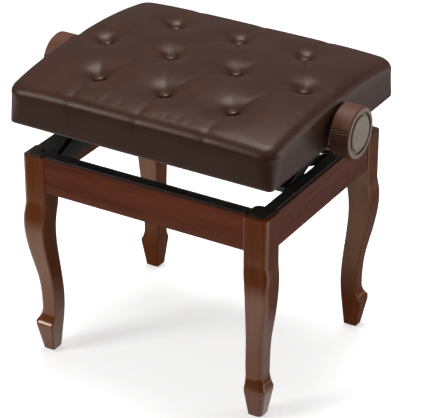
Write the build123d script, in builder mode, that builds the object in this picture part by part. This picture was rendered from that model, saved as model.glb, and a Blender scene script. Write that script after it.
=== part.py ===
"""Height-adjustable piano bench: cabriole-leg frame, screw-driven steel lift and a button-tufted seat.

Millimetres. The origin is on the floor under the middle of the bench, +X runs along the seat towards
the right-hand knob, -Y is the player's side and +Z is up. The seat stands at the height of the photo.
"""
import math
import os

from build123d import *

os.makedirs("parts", exist_ok=True)

# Wooden frame
FRAME_LENGTH = 472.0  # over the outer corners of the legs
FRAME_DEPTH = 398.0
FRAME_TOP = 385.0  # height of the legs' and rails' top faces
RAIL_HEIGHT = 63.0
RAIL_THICKNESS = 22.0
RAIL_SETBACK = 3.0  # the legs stand this far proud of the rails
LEG_BLOCK = 43.0  # square block at the top of each leg
LEG_BLOCK_HEIGHT = 86.0
LEG_CORNER_RADIUS = 9.0  # soft outer corner of the leg
LEG_EDGE_RADIUS = 2.5
KNEE_SWELL = 2.5  # how far the knee stands out past the block
KNEE_DROP = 24.0  # from the block's lower end to the fullest part of the knee
CALF_PINCH = 3.0  # hollow at the back of the knee
CALF_DROP = 36.0
SHIN_INSET = 5.5
SHIN_WIDTH = 36.0
ANKLE_HEIGHT = 84.0
ANKLE_INSET = 15.0  # outer face of the ankle, inside the block's outer face
ANKLE_WIDTH = 31.0
TOE_HEIGHT = 58.0
TOE_INSET = 6.5
TOE_LIP = 7.0  # height of the crisp edge round the toe
HEEL_INSET = 44.5
SOLE_INSET = 15.0
SOLE_WIDTH = 25.0
GLIDE_DIAMETER = 16.0
GLIDE_HEIGHT = 4.0
GLIDE_EDGE = 1.2

# Corner braces and the bolts that hold the legs
BRACE_THICKNESS = 20.0
BRACE_HEIGHT = 18.0
BRACE_RAISE = 0.5  # above the rails' lower edge
BRACE_LEG_GAP = 1.5  # lets the bolt pull the leg in tight
BOLT_DIAMETER = 8.0
BOLT_IN_LEG = 24.0
BOLT_PROUD = 13.0  # thread showing behind the brace
NUT_ACROSS_FLATS = 13.0
NUT_HEIGHT = 6.5

# Steel stock
SHEET = 3.0
ANGLE_WIDTH = 20.0
LOWER_FLANGE = 47.0  # deep end flanges that carry the guides, on the frame and on the seat
UPPER_FLANGE = 49.0
TIE_FLANGE = 20.0  # shallower flanges of the front and back members
EAR_SIZE = 36.0
EAR_RADIUS = 12.0
UPPER_SIDE_GAP = 9.0  # from the seat's steel to its padded front and back

# Screws
SCREW_DIAMETER = 4.0
SCREW_HEAD_DIAMETER = 8.0
SCREW_HEAD_HEIGHT = 2.5
FRAME_SCREW_LENGTH = 24.0
SEAT_SCREW_LENGTH = 10.0
SCREW_FROM_END = 60.0
SCREW_HOLE_SPARE = 1.0  # depth left past a screw's point

# Seat
SEAT_END_OVERHANG = 11.0  # past the legs, at the seat's lower edge
SEAT_FACE_OVERHANG = 8.0
SEAT_BOTTOM = 446.0
SEAT_CORNER_RADIUS = 17.0
SEAT_FLARE = 0.065  # sideways growth of each face per unit of height
SIDE_HEIGHT = 44.0
SIDE_THICKNESS = 18.0
BOARD_THICKNESS = 10.0
BOARD_INSET = 10.0  # padding round the board's edge
BOARD_CORNER_RADIUS = 8.0
CROWN_RISE = 34.0  # cushion above the board in the middle
CROWN_RADIUS = 2100.0
CUSHION_ROLL = 15.0  # rounding along the cushion's upper edge

# Tufts
MIDDLE_BUTTONS = 4  # in the middle row
OUTER_BUTTONS = 3  # in the front and back rows
TUFT_SPACING_X = 127.5
TUFT_SPACING_Y = 120.0
TUFT_DEPTH = 10.0
TUFT_RADIUS = 34.0
TUFT_STEEPNESS = 0.35  # outward lean of the dimple's wall beside the button
BUTTON_DIAMETER = 20.0
BUTTON_RIM = 2.0
BUTTON_DOME = 3.5
BUTTON_GAP = 1.0  # between button and dimple wall
PLEAT_DEPTH = 2.0  # fold between two buttons, below the straight line from crown to crown
PLEAT_TOP = 6.0  # the fold's cutter is this much above that line
PLEAT_HALF_WIDTH = 9.0

# Spindle and knobs
SPINDLE_DIAMETER = 14.0
SPINDLE_ABOVE_SEAT_BOTTOM = 28.0
NOTCH_WIDTH = 52.0  # low arch in the seat's end for the spindle
NOTCH_RISE = 13.0  # arch above the spindle's axis
RUNNING_CLEARANCE = 0.05  # radial, on every shaft and pin that turns
FIXED_CLEARANCE = 0.05  # radial, round screws, bolts and pins that stay put
BUSH_DIAMETER = 20.0
BUSH_FLANGE_DIAMETER = 26.0
BUSH_FLANGE = 2.5
BUSH_INSIDE = 4.0  # bush showing inside the seat's end flange
COLLAR_DIAMETER = 40.0
COLLAR_LENGTH = 10.0
COLLAR_STEP = 4.0  # length of the collar's narrower end, next to the seat
COLLAR_STEP_DIAMETER = 34.0
COLLAR_GAP = 1.5  # between the seat's end and the collar
KNOB_DIAMETER = 90.0
KNOB_THICKNESS = 35.0
KNOB_EDGE = 2.5
GRIP_MIDDLES = (20.0, 200.0)  # degrees; middles of the two fluted sectors, below the front and above the back
FLUTE_COUNT = 17  # in each sector
FLUTE_STEP = 5.5  # degrees
FLUTE_RADIUS = 1.6
KNOB_RIM = 9.0
KNOB_RECESS = 3.0
CAP_GAP = 6.0  # bare ring between the rim and the cap
CAP_HEIGHT = 4.0
CAP_EDGE = 1.2
SPINDLE_IN_KNOB = 26.0

# End guides: a crossed pair of bars at each end keeps the seat level
BAR_WIDTH = 18.0
BAR_THICKNESS = 4.0
BAR_GAP = 2.0  # between neighbouring bars and beside the flanges
GUIDE_PIVOT_FROM_LEG = 11.0  # fixed pivots, from the front legs' inner faces
ROLLER_FROM_LEG = 27.0  # running ends, from the back legs' inner faces
GUIDE_PIVOT_BELOW_FRAME = 34.0
GUIDE_PIVOT_ABOVE_SEAT_BOTTOM = 4.0
PIN_DIAMETER = 8.0
PIN_HEAD_DIAMETER = 14.0
PIN_HEAD = 2.5
PIN_END_GAP = 0.5  # between a pin's end and the wood behind it
SLOT_HEIGHT = 12.0
SLOT_AHEAD = 25.0  # length of the slots before and behind the running ends
SLOT_BEHIND = 21.0
CROSSING_HOLE = 12.0  # the crossing pin has play here

# Lift struts: the two nuts on the spindle push them up from the lower beam
STRUT_LENGTH = 280.0
STRUT_FOOT_X = 125.0
STRUT_INNER = 14.0  # inner face of the inside pair of bars, from the middle plane
STRUT_FOOT_BELOW_FRAME = 16.0
BEAM_INNER_WIDTH = 56.0
BEAM_ABOVE_FOOT = 10.0  # walls above the struts' lower pivots
BEAM_BELOW_FOOT = 22.0
BEAM_END_HEIGHT = 10.0  # the walls drop to this under the end guides
BEAM_SHOULDER = 20.0  # full-height wall past each lower pivot
NUT_BLOCK_LENGTH = 26.0
NUT_BLOCK_HEIGHT = 24.0
NUT_BORE_CLEARANCE = 2.2  # thread depth and play round the spindle
NUT_SIDE_GAP = 1.0

# Places that several pieces share
HALF_LENGTH = FRAME_LENGTH / 2
HALF_DEPTH = FRAME_DEPTH / 2
RAIL_OUT_X = HALF_LENGTH - RAIL_SETBACK
RAIL_OUT_Y = HALF_DEPTH - RAIL_SETBACK
RAIL_IN_X = RAIL_OUT_X - RAIL_THICKNESS
RAIL_IN_Y = RAIL_OUT_Y - RAIL_THICKNESS
LEG_IN_X = HALF_LENGTH - LEG_BLOCK
LEG_IN_Y = HALF_DEPTH - LEG_BLOCK
FOOT_INSET = SOLE_INSET + SOLE_WIDTH / 2
RAIL_BOTTOM = FRAME_TOP - RAIL_HEIGHT
BOLT_Z = RAIL_BOTTOM + BRACE_RAISE + BRACE_HEIGHT / 2
STEEL_TOP = FRAME_TOP + SHEET
END_FLANGE_X = RAIL_IN_X - SHEET  # inner faces of the end flanges, on frame and seat alike
TIE_Y = RAIL_IN_Y - SHEET
EAR_X = LEG_IN_X + EAR_SIZE / 2
EAR_Y = LEG_IN_Y + EAR_SIZE / 2
SEAT_LENGTH = FRAME_LENGTH + 2 * SEAT_END_OVERHANG
SEAT_DEPTH = FRAME_DEPTH + 2 * SEAT_FACE_OVERHANG
BOARD_BOTTOM = SEAT_BOTTOM + SIDE_HEIGHT
BOARD_TOP = BOARD_BOTTOM + BOARD_THICKNESS
CROWN_HEIGHT = BOARD_TOP + CROWN_RISE
SIDE_IN_X = SEAT_LENGTH / 2 - SIDE_THICKNESS
SIDE_IN_Y = SEAT_DEPTH / 2 - SIDE_THICKNESS
UPPER_HALF_DEPTH = SIDE_IN_Y - UPPER_SIDE_GAP
UPPER_TIE_Y = UPPER_HALF_DEPTH - ANGLE_WIDTH  # inner faces of the seat's cross members
SPINDLE_Z = SEAT_BOTTOM + SPINDLE_ABOVE_SEAT_BOTTOM
COLLAR_X = SEAT_LENGTH / 2 + SEAT_FLARE * SIDE_HEIGHT + COLLAR_GAP
KNOB_X = COLLAR_X + COLLAR_LENGTH
KNOB_FACE_X = KNOB_X + KNOB_THICKNESS
SPINDLE_END_X = KNOB_X + SPINDLE_IN_KNOB
CAP_RADIUS = KNOB_DIAMETER / 2 - KNOB_RIM - CAP_GAP
GUIDE_A_X = END_FLANGE_X - BAR_GAP - BAR_THICKNESS  # inner faces of the two planes of guide bars
GUIDE_B_X = GUIDE_A_X - BAR_GAP - BAR_THICKNESS
LOWER_PIVOT_Z = FRAME_TOP - GUIDE_PIVOT_BELOW_FRAME
UPPER_PIVOT_Z = SEAT_BOTTOM + GUIDE_PIVOT_ABOVE_SEAT_BOTTOM
GUIDE_PIVOT_Y = GUIDE_PIVOT_FROM_LEG - LEG_IN_Y
ROLLER_Y = LEG_IN_Y - ROLLER_FROM_LEG
SLOT_MIDDLE = ROLLER_Y + (SLOT_BEHIND - SLOT_AHEAD) / 2
STRUT_FOOT_Z = FRAME_TOP - STRUT_FOOT_BELOW_FRAME
NUT_X = math.sqrt(STRUT_LENGTH**2 - (SPINDLE_Z - STRUT_FOOT_Z) ** 2) - STRUT_FOOT_X
STRUT_OUTER = STRUT_INNER + BAR_THICKNESS + BAR_GAP
PIN_HOLE = PIN_DIAMETER / 2 + RUNNING_CLEARANCE
FIXED_PIN_HOLE = PIN_DIAMETER / 2 + FIXED_CLEARANCE
ENDS = {"left": -1, "right": 1}
FACES = {"front": -1, "back": 1}
CORNERS = [(face, end) for face in FACES for end in ENDS]


def keep(name, part):
    """Label a finished piece and write it."""
    part.label = name
    export_step(part, f"parts/{name}.step")


def at_corners(x, y):
    """A place and its mirror images in the other three quarters of the plan."""
    return [(end * x, face * y) for face in FACES.values() for end in ENDS.values()]


def button_row(count, y):
    """A row of button places along the seat."""
    return [((column - (count - 1) / 2) * TUFT_SPACING_X, y) for column in range(count)]


# Screw places on the frame's and the seat's steel
FRAME_SCREWS = at_corners(LEG_IN_X - SCREW_FROM_END, (RAIL_IN_Y + RAIL_OUT_Y) / 2)
FRAME_SCREWS += at_corners((RAIL_IN_X + RAIL_OUT_X) / 2, LEG_IN_Y - SCREW_FROM_END)
EAR_SCREWS = at_corners(EAR_X, EAR_Y)
SEAT_SCREWS = at_corners((RAIL_IN_X + END_FLANGE_X + ANGLE_WIDTH) / 2, UPPER_TIE_Y - SCREW_FROM_END)
SEAT_SCREWS += at_corners(END_FLANGE_X - SCREW_FROM_END, (UPPER_TIE_Y + SHEET + UPPER_HALF_DEPTH) / 2)

# Button places, the outer rows staggered against the middle one, and the pleats between them
MIDDLE_ROW = button_row(MIDDLE_BUTTONS, 0)
OUTER_ROWS = button_row(OUTER_BUTTONS, -TUFT_SPACING_Y) + button_row(OUTER_BUTTONS, TUFT_SPACING_Y)
TUFTS = MIDDLE_ROW + OUTER_ROWS
PLEATS = [(a, b) for a in OUTER_ROWS for b in MIDDLE_ROW if abs(a[0] - b[0]) < TUFT_SPACING_X]


def block(low, high, cuts):
    """A square-edged length of wood between two opposite corners, less its holes."""
    with BuildPart() as piece:
        with BuildSketch(Plane.XY.offset(low[2])):
            with Locations(((low[0] + high[0]) / 2, (low[1] + high[1]) / 2)):
                Rectangle(high[0] - low[0], high[1] - low[1])
        extrude(amount=high[2] - low[2])
        add(cuts, mode=Mode.SUBTRACT)
    return piece.part


def rods(ends, radius):
    """Round rods, each between two points."""
    with BuildPart() as group:
        for start, stop in ends:
            along = Vector(*stop) - Vector(*start)
            with BuildSketch(Plane(origin=start, z_dir=along)):
                Circle(radius)
            extrude(amount=along.length)
    return group.part


def cross_rod(y, z, half_length, radius):
    """A round rod along X, centred on the bench."""
    return rods([((-half_length, y, z), (half_length, y, z))], radius)


def headed_pins(y, z, inner_x, outer_x):
    """A pin at each end of the bench, along X, with its head on the inner end."""
    heads = [((sign * (inner_x - PIN_HEAD), y, z), (sign * inner_x, y, z)) for sign in ENDS.values()]
    shanks = [((sign * inner_x, y, z), (sign * outer_x, y, z)) for sign in ENDS.values()]
    with BuildPart() as pins:
        add(rods(heads, PIN_HEAD_DIAMETER / 2))
        add(rods(shanks, PIN_DIAMETER / 2))
    return pins.part


def end_plane(sign, x, z):
    """A plane across the spindle's direction at either end, facing outwards."""
    return Plane(origin=(sign * x, 0, z), x_dir=(0, -1, 0), z_dir=(sign, 0, 0))


def screws(places, seat_z, length, up):
    """Flat-headed screws with their heads against seat_z and their points up or down."""
    way = 1 if up else -1
    heads = [((x, y, seat_z - way * SCREW_HEAD_HEIGHT), (x, y, seat_z)) for x, y in places]
    shanks = [((x, y, seat_z), (x, y, seat_z + way * length)) for x, y in places]
    with BuildPart() as group:
        add(rods(heads, SCREW_HEAD_DIAMETER / 2))
        add(rods(shanks, SCREW_DIAMETER / 2))
    return group.part


def screw_holes(places, seat_z, length):
    """Holes through steel and wood for those screws, whichever way they point."""
    depth = length + SCREW_HOLE_SPARE
    ends = [((x, y, seat_z - depth), (x, y, seat_z + depth)) for x, y in places]
    return rods(ends, SCREW_DIAMETER / 2 + FIXED_CLEARANCE)


def leg_outline(sign, half_size):
    """Side view of a leg, drawn from its outer face inwards; sign says which way is out."""

    def at(inset, height):
        return (sign * (half_size - inset), height)

    block_end = FRAME_TOP - LEG_BLOCK_HEIGHT
    knee = block_end - KNEE_DROP
    shin = (knee + ANKLE_HEIGHT) / 2
    heel_lean = (sign * (SOLE_INSET + SOLE_WIDTH - HEEL_INSET), TOE_HEIGHT - GLIDE_HEIGHT)
    with BuildLine() as outline:
        Line(at(LEG_BLOCK, FRAME_TOP), at(0, FRAME_TOP))
        Line(at(0, FRAME_TOP), at(0, block_end))
        Spline(
            at(0, block_end),
            at(-KNEE_SWELL, knee),
            at(SHIN_INSET, shin),
            at(ANKLE_INSET, ANKLE_HEIGHT),
            tangents=((0, -1), (0, -1)),
        )
        TangentArc(at(ANKLE_INSET, ANKLE_HEIGHT), at(TOE_INSET, TOE_HEIGHT), tangent=(0, -1))
        Line(at(TOE_INSET, TOE_HEIGHT), at(TOE_INSET, TOE_HEIGHT - TOE_LIP))
        Line(at(TOE_INSET, TOE_HEIGHT - TOE_LIP), at(SOLE_INSET, GLIDE_HEIGHT))
        Line(at(SOLE_INSET, GLIDE_HEIGHT), at(SOLE_INSET + SOLE_WIDTH, GLIDE_HEIGHT))
        Spline(
            at(SOLE_INSET + SOLE_WIDTH, GLIDE_HEIGHT),
            at(HEEL_INSET, TOE_HEIGHT),
            at(ANKLE_INSET + ANKLE_WIDTH, ANKLE_HEIGHT),
            at(SHIN_INSET + SHIN_WIDTH, shin),
            at(LEG_BLOCK - CALF_PINCH, block_end - CALF_DROP),
            at(LEG_BLOCK, block_end),
            tangents=(heel_lean, (0, 1)),
        )
        Line(at(LEG_BLOCK, block_end), at(LEG_BLOCK, FRAME_TOP))
    return outline.line


def bolt_axis(end, face, behind, ahead):
    """A stretch of a leg bolt's axis, measured from the leg's inner corner into brace and leg."""
    corner = Vector(ENDS[end] * LEG_IN_X, FACES[face] * LEG_IN_Y, BOLT_Z)
    way = Vector(ENDS[end], FACES[face], 0).normalized()
    return corner - way * behind, corner + way * ahead


def leg(face, end):
    """A cabriole leg: the same side view sawn through the blank from two faces, then eased."""

    def runs_down(edge):
        return abs((edge @ 0).Z - (edge @ 1).Z) > TOE_LIP / 2

    def on_outer_corner(edge):
        inset_x = HALF_LENGTH - abs((edge @ 0.5).X)
        inset_y = HALF_DEPTH - abs((edge @ 0.5).Y)
        return max(inset_x, inset_y) < (ANKLE_INSET + LEG_BLOCK) / 2

    with BuildPart() as piece:
        with BuildSketch(Plane.XZ):
            add(leg_outline(ENDS[end], HALF_LENGTH))
            make_face()
        extrude(amount=FRAME_DEPTH, both=True)
        with BuildSketch(Plane.YZ):
            add(leg_outline(FACES[face], HALF_DEPTH))
            make_face()
        extrude(amount=FRAME_LENGTH, both=True, mode=Mode.INTERSECT)
        long_edges = piece.edges().filter_by(runs_down)
        fillet([edge for edge in long_edges if not on_outer_corner(edge)], LEG_EDGE_RADIUS)
        long_edges = piece.edges().filter_by(runs_down)
        fillet([edge for edge in long_edges if on_outer_corner(edge)], LEG_CORNER_RADIUS)
        hole = bolt_axis(end, face, BOLT_DIAMETER, BOLT_IN_LEG + SCREW_HOLE_SPARE)
        add(rods([hole], BOLT_DIAMETER / 2 + FIXED_CLEARANCE), mode=Mode.SUBTRACT)
        add(screw_holes(EAR_SCREWS, STEEL_TOP, FRAME_SCREW_LENGTH), mode=Mode.SUBTRACT)
    return piece.part


def angle_bar(corners, along, half_length, cuts):
    """A length of folded steel: its section in the plane across it, run out both ways, less its holes."""
    with BuildPart() as bar:
        with BuildSketch(along):
            Polygon(*corners, align=None)
        extrude(amount=half_length, both=True)
        for cut in cuts:
            add(cut, mode=Mode.SUBTRACT)
    return bar.part


def end_slots(height):
    """The slots in both end flanges that the guides' cross shaft runs in."""
    with BuildPart() as slots:
        with BuildSketch(Plane.YZ):
            with Locations((SLOT_MIDDLE, height)):
                SlotOverall(SLOT_AHEAD + SLOT_BEHIND, SLOT_HEIGHT)
        extrude(amount=HALF_LENGTH, both=True)
    return slots.part


def link(plane, start, stop, thickness, holes):
    """A flat bar with round ends between two pivots; holes are pairs of a place on the bar and a radius."""
    way = Vector(*stop) - Vector(*start)
    with BuildPart() as bar:
        with BuildSketch(plane):
            with Locations(((start[0] + stop[0]) / 2, (start[1] + stop[1]) / 2)):
                SlotCenterToCenter(way.length, BAR_WIDTH, rotation=math.degrees(math.atan2(way.Y, way.X)))
            for share, radius in holes:
                with Locations((start[0] + share * way.X, start[1] + share * way.Y)):
                    Circle(radius, mode=Mode.SUBTRACT)
        extrude(amount=thickness)
    return bar.part


def seat_shape(low, high):
    """The upholstered box between two heights, its faces leaning out towards the top."""
    with BuildPart() as shape:
        for height in (low, high):
            grown = 2 * SEAT_FLARE * (height - SEAT_BOTTOM)
            with BuildSketch(Plane.XY.offset(height)):
                RectangleRounded(SEAT_LENGTH + grown, SEAT_DEPTH + grown, SEAT_CORNER_RADIUS)
        loft()
    return shape.part


def crown_height(x, y):
    """Height of the untufted cushion at a place on the seat."""
    return CROWN_HEIGHT - CROWN_RADIUS + math.sqrt(CROWN_RADIUS**2 - x**2 - y**2)


# Legs, with a glide under each
for face, end in CORNERS:
    keep(f"{face}_{end}_leg", leg(face, end))

with BuildPart() as floor_glides:
    with BuildSketch():
        with GridLocations(FRAME_LENGTH - 2 * FOOT_INSET, FRAME_DEPTH - 2 * FOOT_INSET, 2, 2):
            Circle(GLIDE_DIAMETER / 2)
    extrude(amount=GLIDE_HEIGHT)
    fillet(floor_glides.faces().group_by(Axis.Z)[0].edges(), GLIDE_EDGE)
keep("floor_glides", floor_glides.part)

# Rails between the legs
frame_screw_holes = screw_holes(FRAME_SCREWS, STEEL_TOP, FRAME_SCREW_LENGTH)
for face, sign in FACES.items():
    near, far = sorted((sign * RAIL_IN_Y, sign * RAIL_OUT_Y))
    keep(f"{face}_rail", block((-LEG_IN_X, near, RAIL_BOTTOM), (LEG_IN_X, far, FRAME_TOP), frame_screw_holes))
for end, sign in ENDS.items():
    near, far = sorted((sign * RAIL_IN_X, sign * RAIL_OUT_X))
    keep(f"{end}_rail", block((near, -LEG_IN_Y, RAIL_BOTTOM), (far, LEG_IN_Y, FRAME_TOP), frame_screw_holes))

# Corner braces, and the bolts and nuts that draw each leg into its corner
BRACE_REACH = LEG_IN_X + LEG_IN_Y - BRACE_LEG_GAP * math.sqrt(2)
BRACE_BACK = BRACE_REACH - BRACE_THICKNESS * math.sqrt(2)
BRACE_OUTLINE = [
    (RAIL_IN_X, BRACE_REACH - RAIL_IN_X),
    (RAIL_IN_X, BRACE_BACK - RAIL_IN_X),
    (BRACE_BACK - RAIL_IN_Y, RAIL_IN_Y),
    (BRACE_REACH - RAIL_IN_Y, RAIL_IN_Y),
]
BEHIND_BRACE = BRACE_LEG_GAP + BRACE_THICKNESS
bolt_spans = [bolt_axis(end, face, BEHIND_BRACE + BOLT_PROUD, BOLT_IN_LEG) for face, end in CORNERS]
for face, end in CORNERS:
    with BuildPart() as brace:
        with BuildSketch(Plane.XY.offset(RAIL_BOTTOM + BRACE_RAISE)):
            Polygon(*[(ENDS[end] * x, FACES[face] * y) for x, y in BRACE_OUTLINE], align=None)
        extrude(amount=BRACE_HEIGHT)
        add(rods(bolt_spans, BOLT_DIAMETER / 2 + FIXED_CLEARANCE), mode=Mode.SUBTRACT)
    keep(f"{face}_{end}_brace", brace.part)
keep("leg_bolts", rods(bolt_spans, BOLT_DIAMETER / 2))

with BuildPart() as leg_nuts:
    for face, end in CORNERS:
        seat, _ = bolt_axis(end, face, BEHIND_BRACE, 0)
        with BuildSketch(Plane(origin=seat, z_dir=(ENDS[end], FACES[face], 0))):
            RegularPolygon(NUT_ACROSS_FLATS / 2, 6, major_radius=False)
            Circle(BOLT_DIAMETER / 2 + FIXED_CLEARANCE, mode=Mode.SUBTRACT)
        extrude(amount=-NUT_HEIGHT)
keep("leg_nuts", leg_nuts.part)

# Steel frame on top of the rails: four folded angles and an ear on each leg
lower_pivot_holes = cross_rod(GUIDE_PIVOT_Y, LOWER_PIVOT_Z, HALF_LENGTH, PIN_HOLE)
for end, sign in ENDS.items():
    section = [
        (sign * END_FLANGE_X, STEEL_TOP),
        (sign * (END_FLANGE_X + ANGLE_WIDTH), STEEL_TOP),
        (sign * (END_FLANGE_X + ANGLE_WIDTH), FRAME_TOP),
        (sign * RAIL_IN_X, FRAME_TOP),
        (sign * RAIL_IN_X, STEEL_TOP - LOWER_FLANGE),
        (sign * END_FLANGE_X, STEEL_TOP - LOWER_FLANGE),
    ]
    cuts = [lower_pivot_holes, end_slots(LOWER_PIVOT_Z), frame_screw_holes]
    keep(f"lower_angle_{end}", angle_bar(section, Plane.XZ, LEG_IN_Y, cuts))
for face, sign in FACES.items():
    section = [
        (sign * TIE_Y, STEEL_TOP),
        (sign * (TIE_Y + ANGLE_WIDTH), STEEL_TOP),
        (sign * (TIE_Y + ANGLE_WIDTH), FRAME_TOP),
        (sign * RAIL_IN_Y, FRAME_TOP),
        (sign * RAIL_IN_Y, STEEL_TOP - TIE_FLANGE),
        (sign * TIE_Y, STEEL_TOP - TIE_FLANGE),
    ]
    keep(f"lower_angle_{face}", angle_bar(section, Plane.YZ, LEG_IN_X, [frame_screw_holes]))
for face, end in CORNERS:
    with BuildPart() as ear:
        with BuildSketch(Plane.XY.offset(FRAME_TOP)):
            with Locations((ENDS[end] * EAR_X, FACES[face] * EAR_Y)):
                RectangleRounded(EAR_SIZE, EAR_SIZE, EAR_RADIUS)
        extrude(amount=SHEET)
        add(screw_holes(EAR_SCREWS, STEEL_TOP, FRAME_SCREW_LENGTH), mode=Mode.SUBTRACT)
    keep(f"{face}_{end}_ear", ear.part)
keep("frame_screws", screws(FRAME_SCREWS + EAR_SCREWS, STEEL_TOP, FRAME_SCREW_LENGTH, up=False))

# Lower beam: a channel along the middle whose walls carry the feet of the lift struts
BEAM_BOTTOM = STRUT_FOOT_Z - BEAM_BELOW_FOOT
BEAM_TOP = STRUT_FOOT_Z + BEAM_ABOVE_FOOT
BEAM_OUTER = BEAM_INNER_WIDTH / 2 + SHEET
BEAM_WALL = [
    (END_FLANGE_X, BEAM_BOTTOM),
    (END_FLANGE_X, BEAM_BOTTOM + BEAM_END_HEIGHT),
    (STRUT_FOOT_X + 2 * BEAM_SHOULDER, BEAM_BOTTOM + BEAM_END_HEIGHT),
    (STRUT_FOOT_X + BEAM_SHOULDER, BEAM_TOP),
]
PIN_REACH = BEAM_OUTER + PIN_HEAD
foot_pin_spans = [
    ((sign * STRUT_FOOT_X, -PIN_REACH, STRUT_FOOT_Z), (sign * STRUT_FOOT_X, PIN_REACH, STRUT_FOOT_Z))
    for sign in ENDS.values()
]
with BuildPart() as lower_beam:
    with BuildSketch(Plane.XZ):
        Polygon(*BEAM_WALL, *[(-x, z) for x, z in reversed(BEAM_WALL)], align=None)
    extrude(amount=BEAM_OUTER, both=True)
    with BuildSketch(Plane.XY.offset(BEAM_BOTTOM + SHEET)):
        Rectangle(FRAME_LENGTH, BEAM_INNER_WIDTH)
    extrude(amount=BEAM_TOP - BEAM_BOTTOM, mode=Mode.SUBTRACT)
    add(rods(foot_pin_spans, FIXED_PIN_HOLE), mode=Mode.SUBTRACT)
keep("lower_beam", lower_beam.part)
keep("strut_foot_pins", rods(foot_pin_spans, PIN_DIAMETER / 2))

# Upholstered sides of the seat; the ends are notched for the spindle
with BuildPart() as spindle_notch:
    with BuildSketch(Plane.YZ):
        with Locations((0, SPINDLE_Z)):
            SlotOverall(NOTCH_WIDTH, 2 * NOTCH_RISE)
        with Locations((0, (SPINDLE_Z + SEAT_BOTTOM - SIDE_THICKNESS) / 2)):
            Rectangle(NOTCH_WIDTH, SPINDLE_Z - SEAT_BOTTOM + SIDE_THICKNESS)
    extrude(amount=SEAT_LENGTH, both=True)
for face, sign in FACES.items():
    with BuildPart() as side:
        add(seat_shape(SEAT_BOTTOM, BOARD_BOTTOM))
        with BuildSketch(Plane.XY.offset(SEAT_BOTTOM)):
            with Locations((0, sign * (SIDE_IN_Y + SEAT_DEPTH / 2))):
                Rectangle(2 * SEAT_LENGTH, SEAT_DEPTH)
        extrude(amount=SIDE_HEIGHT, mode=Mode.INTERSECT)
    keep(f"seat_side_{face}", side.part)
for end, sign in ENDS.items():
    with BuildPart() as side:
        add(seat_shape(SEAT_BOTTOM, BOARD_BOTTOM))
        with BuildSketch(Plane.XY.offset(SEAT_BOTTOM)):
            with Locations((sign * (SIDE_IN_X + SEAT_LENGTH / 2), 0)):
                Rectangle(SEAT_LENGTH, 2 * SIDE_IN_Y)
        extrude(amount=SIDE_HEIGHT, mode=Mode.INTERSECT)
        add(spindle_notch.part, mode=Mode.SUBTRACT)
    keep(f"seat_side_{end}", side.part)

# Seat board and the padded, tufted cushion round it
seat_screw_holes = screw_holes(SEAT_SCREWS, BOARD_BOTTOM - SHEET, SEAT_SCREW_LENGTH)
with BuildPart() as seat_board:
    with BuildSketch(Plane.XY.offset(BOARD_BOTTOM)):
        RectangleRounded(SEAT_LENGTH - 2 * BOARD_INSET, SEAT_DEPTH - 2 * BOARD_INSET, BOARD_CORNER_RADIUS)
    extrude(amount=BOARD_THICKNESS)
    add(seat_screw_holes, mode=Mode.SUBTRACT)
keep("seat_board", seat_board.part)

DIMPLE_FLOOR = BUTTON_DIAMETER / 2 + BUTTON_GAP
BUTTON_HEIGHT = BUTTON_RIM + BUTTON_DOME
with BuildPart() as seat_cushion:
    add(seat_shape(BOARD_BOTTOM, CROWN_HEIGHT + CUSHION_ROLL))
    with Locations((0, 0, CROWN_HEIGHT - CROWN_RADIUS)):
        Sphere(CROWN_RADIUS, mode=Mode.INTERSECT)
    fillet(seat_cushion.faces().sort_by(Axis.Z)[-1].edges(), CUSHION_ROLL)
    for x, y in TUFTS:
        surface = crown_height(x, y)
        with BuildSketch(Plane(origin=(x, y, surface), x_dir=(1, 0, 0), z_dir=(0, -1, 0))):
            with BuildLine():
                Line((0, -TUFT_DEPTH), (DIMPLE_FLOOR, -TUFT_DEPTH))
                Spline((DIMPLE_FLOOR, -TUFT_DEPTH), (TUFT_RADIUS, 0), tangents=((TUFT_STEEPNESS, 1), (1, 0)))
                Polyline((TUFT_RADIUS, 0), (TUFT_RADIUS, TUFT_DEPTH), (0, TUFT_DEPTH), (0, -TUFT_DEPTH))
            make_face()
        revolve(axis=Axis((x, y, surface), (0, 0, 1)), mode=Mode.SUBTRACT)
    for first, second in PLEATS:
        start = Vector(*first, crown_height(*first))
        along = Vector(*second, crown_height(*second)) - start
        fold = [(0, -PLEAT_DEPTH), (PLEAT_HALF_WIDTH, PLEAT_TOP), (-PLEAT_HALF_WIDTH, PLEAT_TOP)]
        with BuildSketch(Plane(origin=start, x_dir=Vector(0, 0, 1).cross(along), z_dir=along)):
            Polygon(*fold, align=None)
        extrude(amount=along.length, mode=Mode.SUBTRACT)
    with BuildSketch(Plane.XY.offset(BOARD_BOTTOM)):
        RectangleRounded(SEAT_LENGTH - 2 * BOARD_INSET, SEAT_DEPTH - 2 * BOARD_INSET, BOARD_CORNER_RADIUS)
    extrude(amount=BOARD_THICKNESS, mode=Mode.SUBTRACT)
keep("seat_cushion", seat_cushion.part)

with BuildPart() as tuft_buttons:
    rim = (BUTTON_DIAMETER / 2, BUTTON_RIM)
    for x, y in TUFTS:
        floor = crown_height(x, y) - TUFT_DEPTH
        with BuildSketch(Plane(origin=(x, y, floor), x_dir=(1, 0, 0), z_dir=(0, -1, 0))):
            with BuildLine():
                Polyline((0, BUTTON_HEIGHT), (0, 0), (BUTTON_DIAMETER / 2, 0), rim)
                TangentArc((0, BUTTON_HEIGHT), rim, tangent=(1, 0))
            make_face()
        revolve(axis=Axis((x, y, floor), (0, 0, 1)))
keep("tuft_buttons", tuft_buttons.part)

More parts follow.
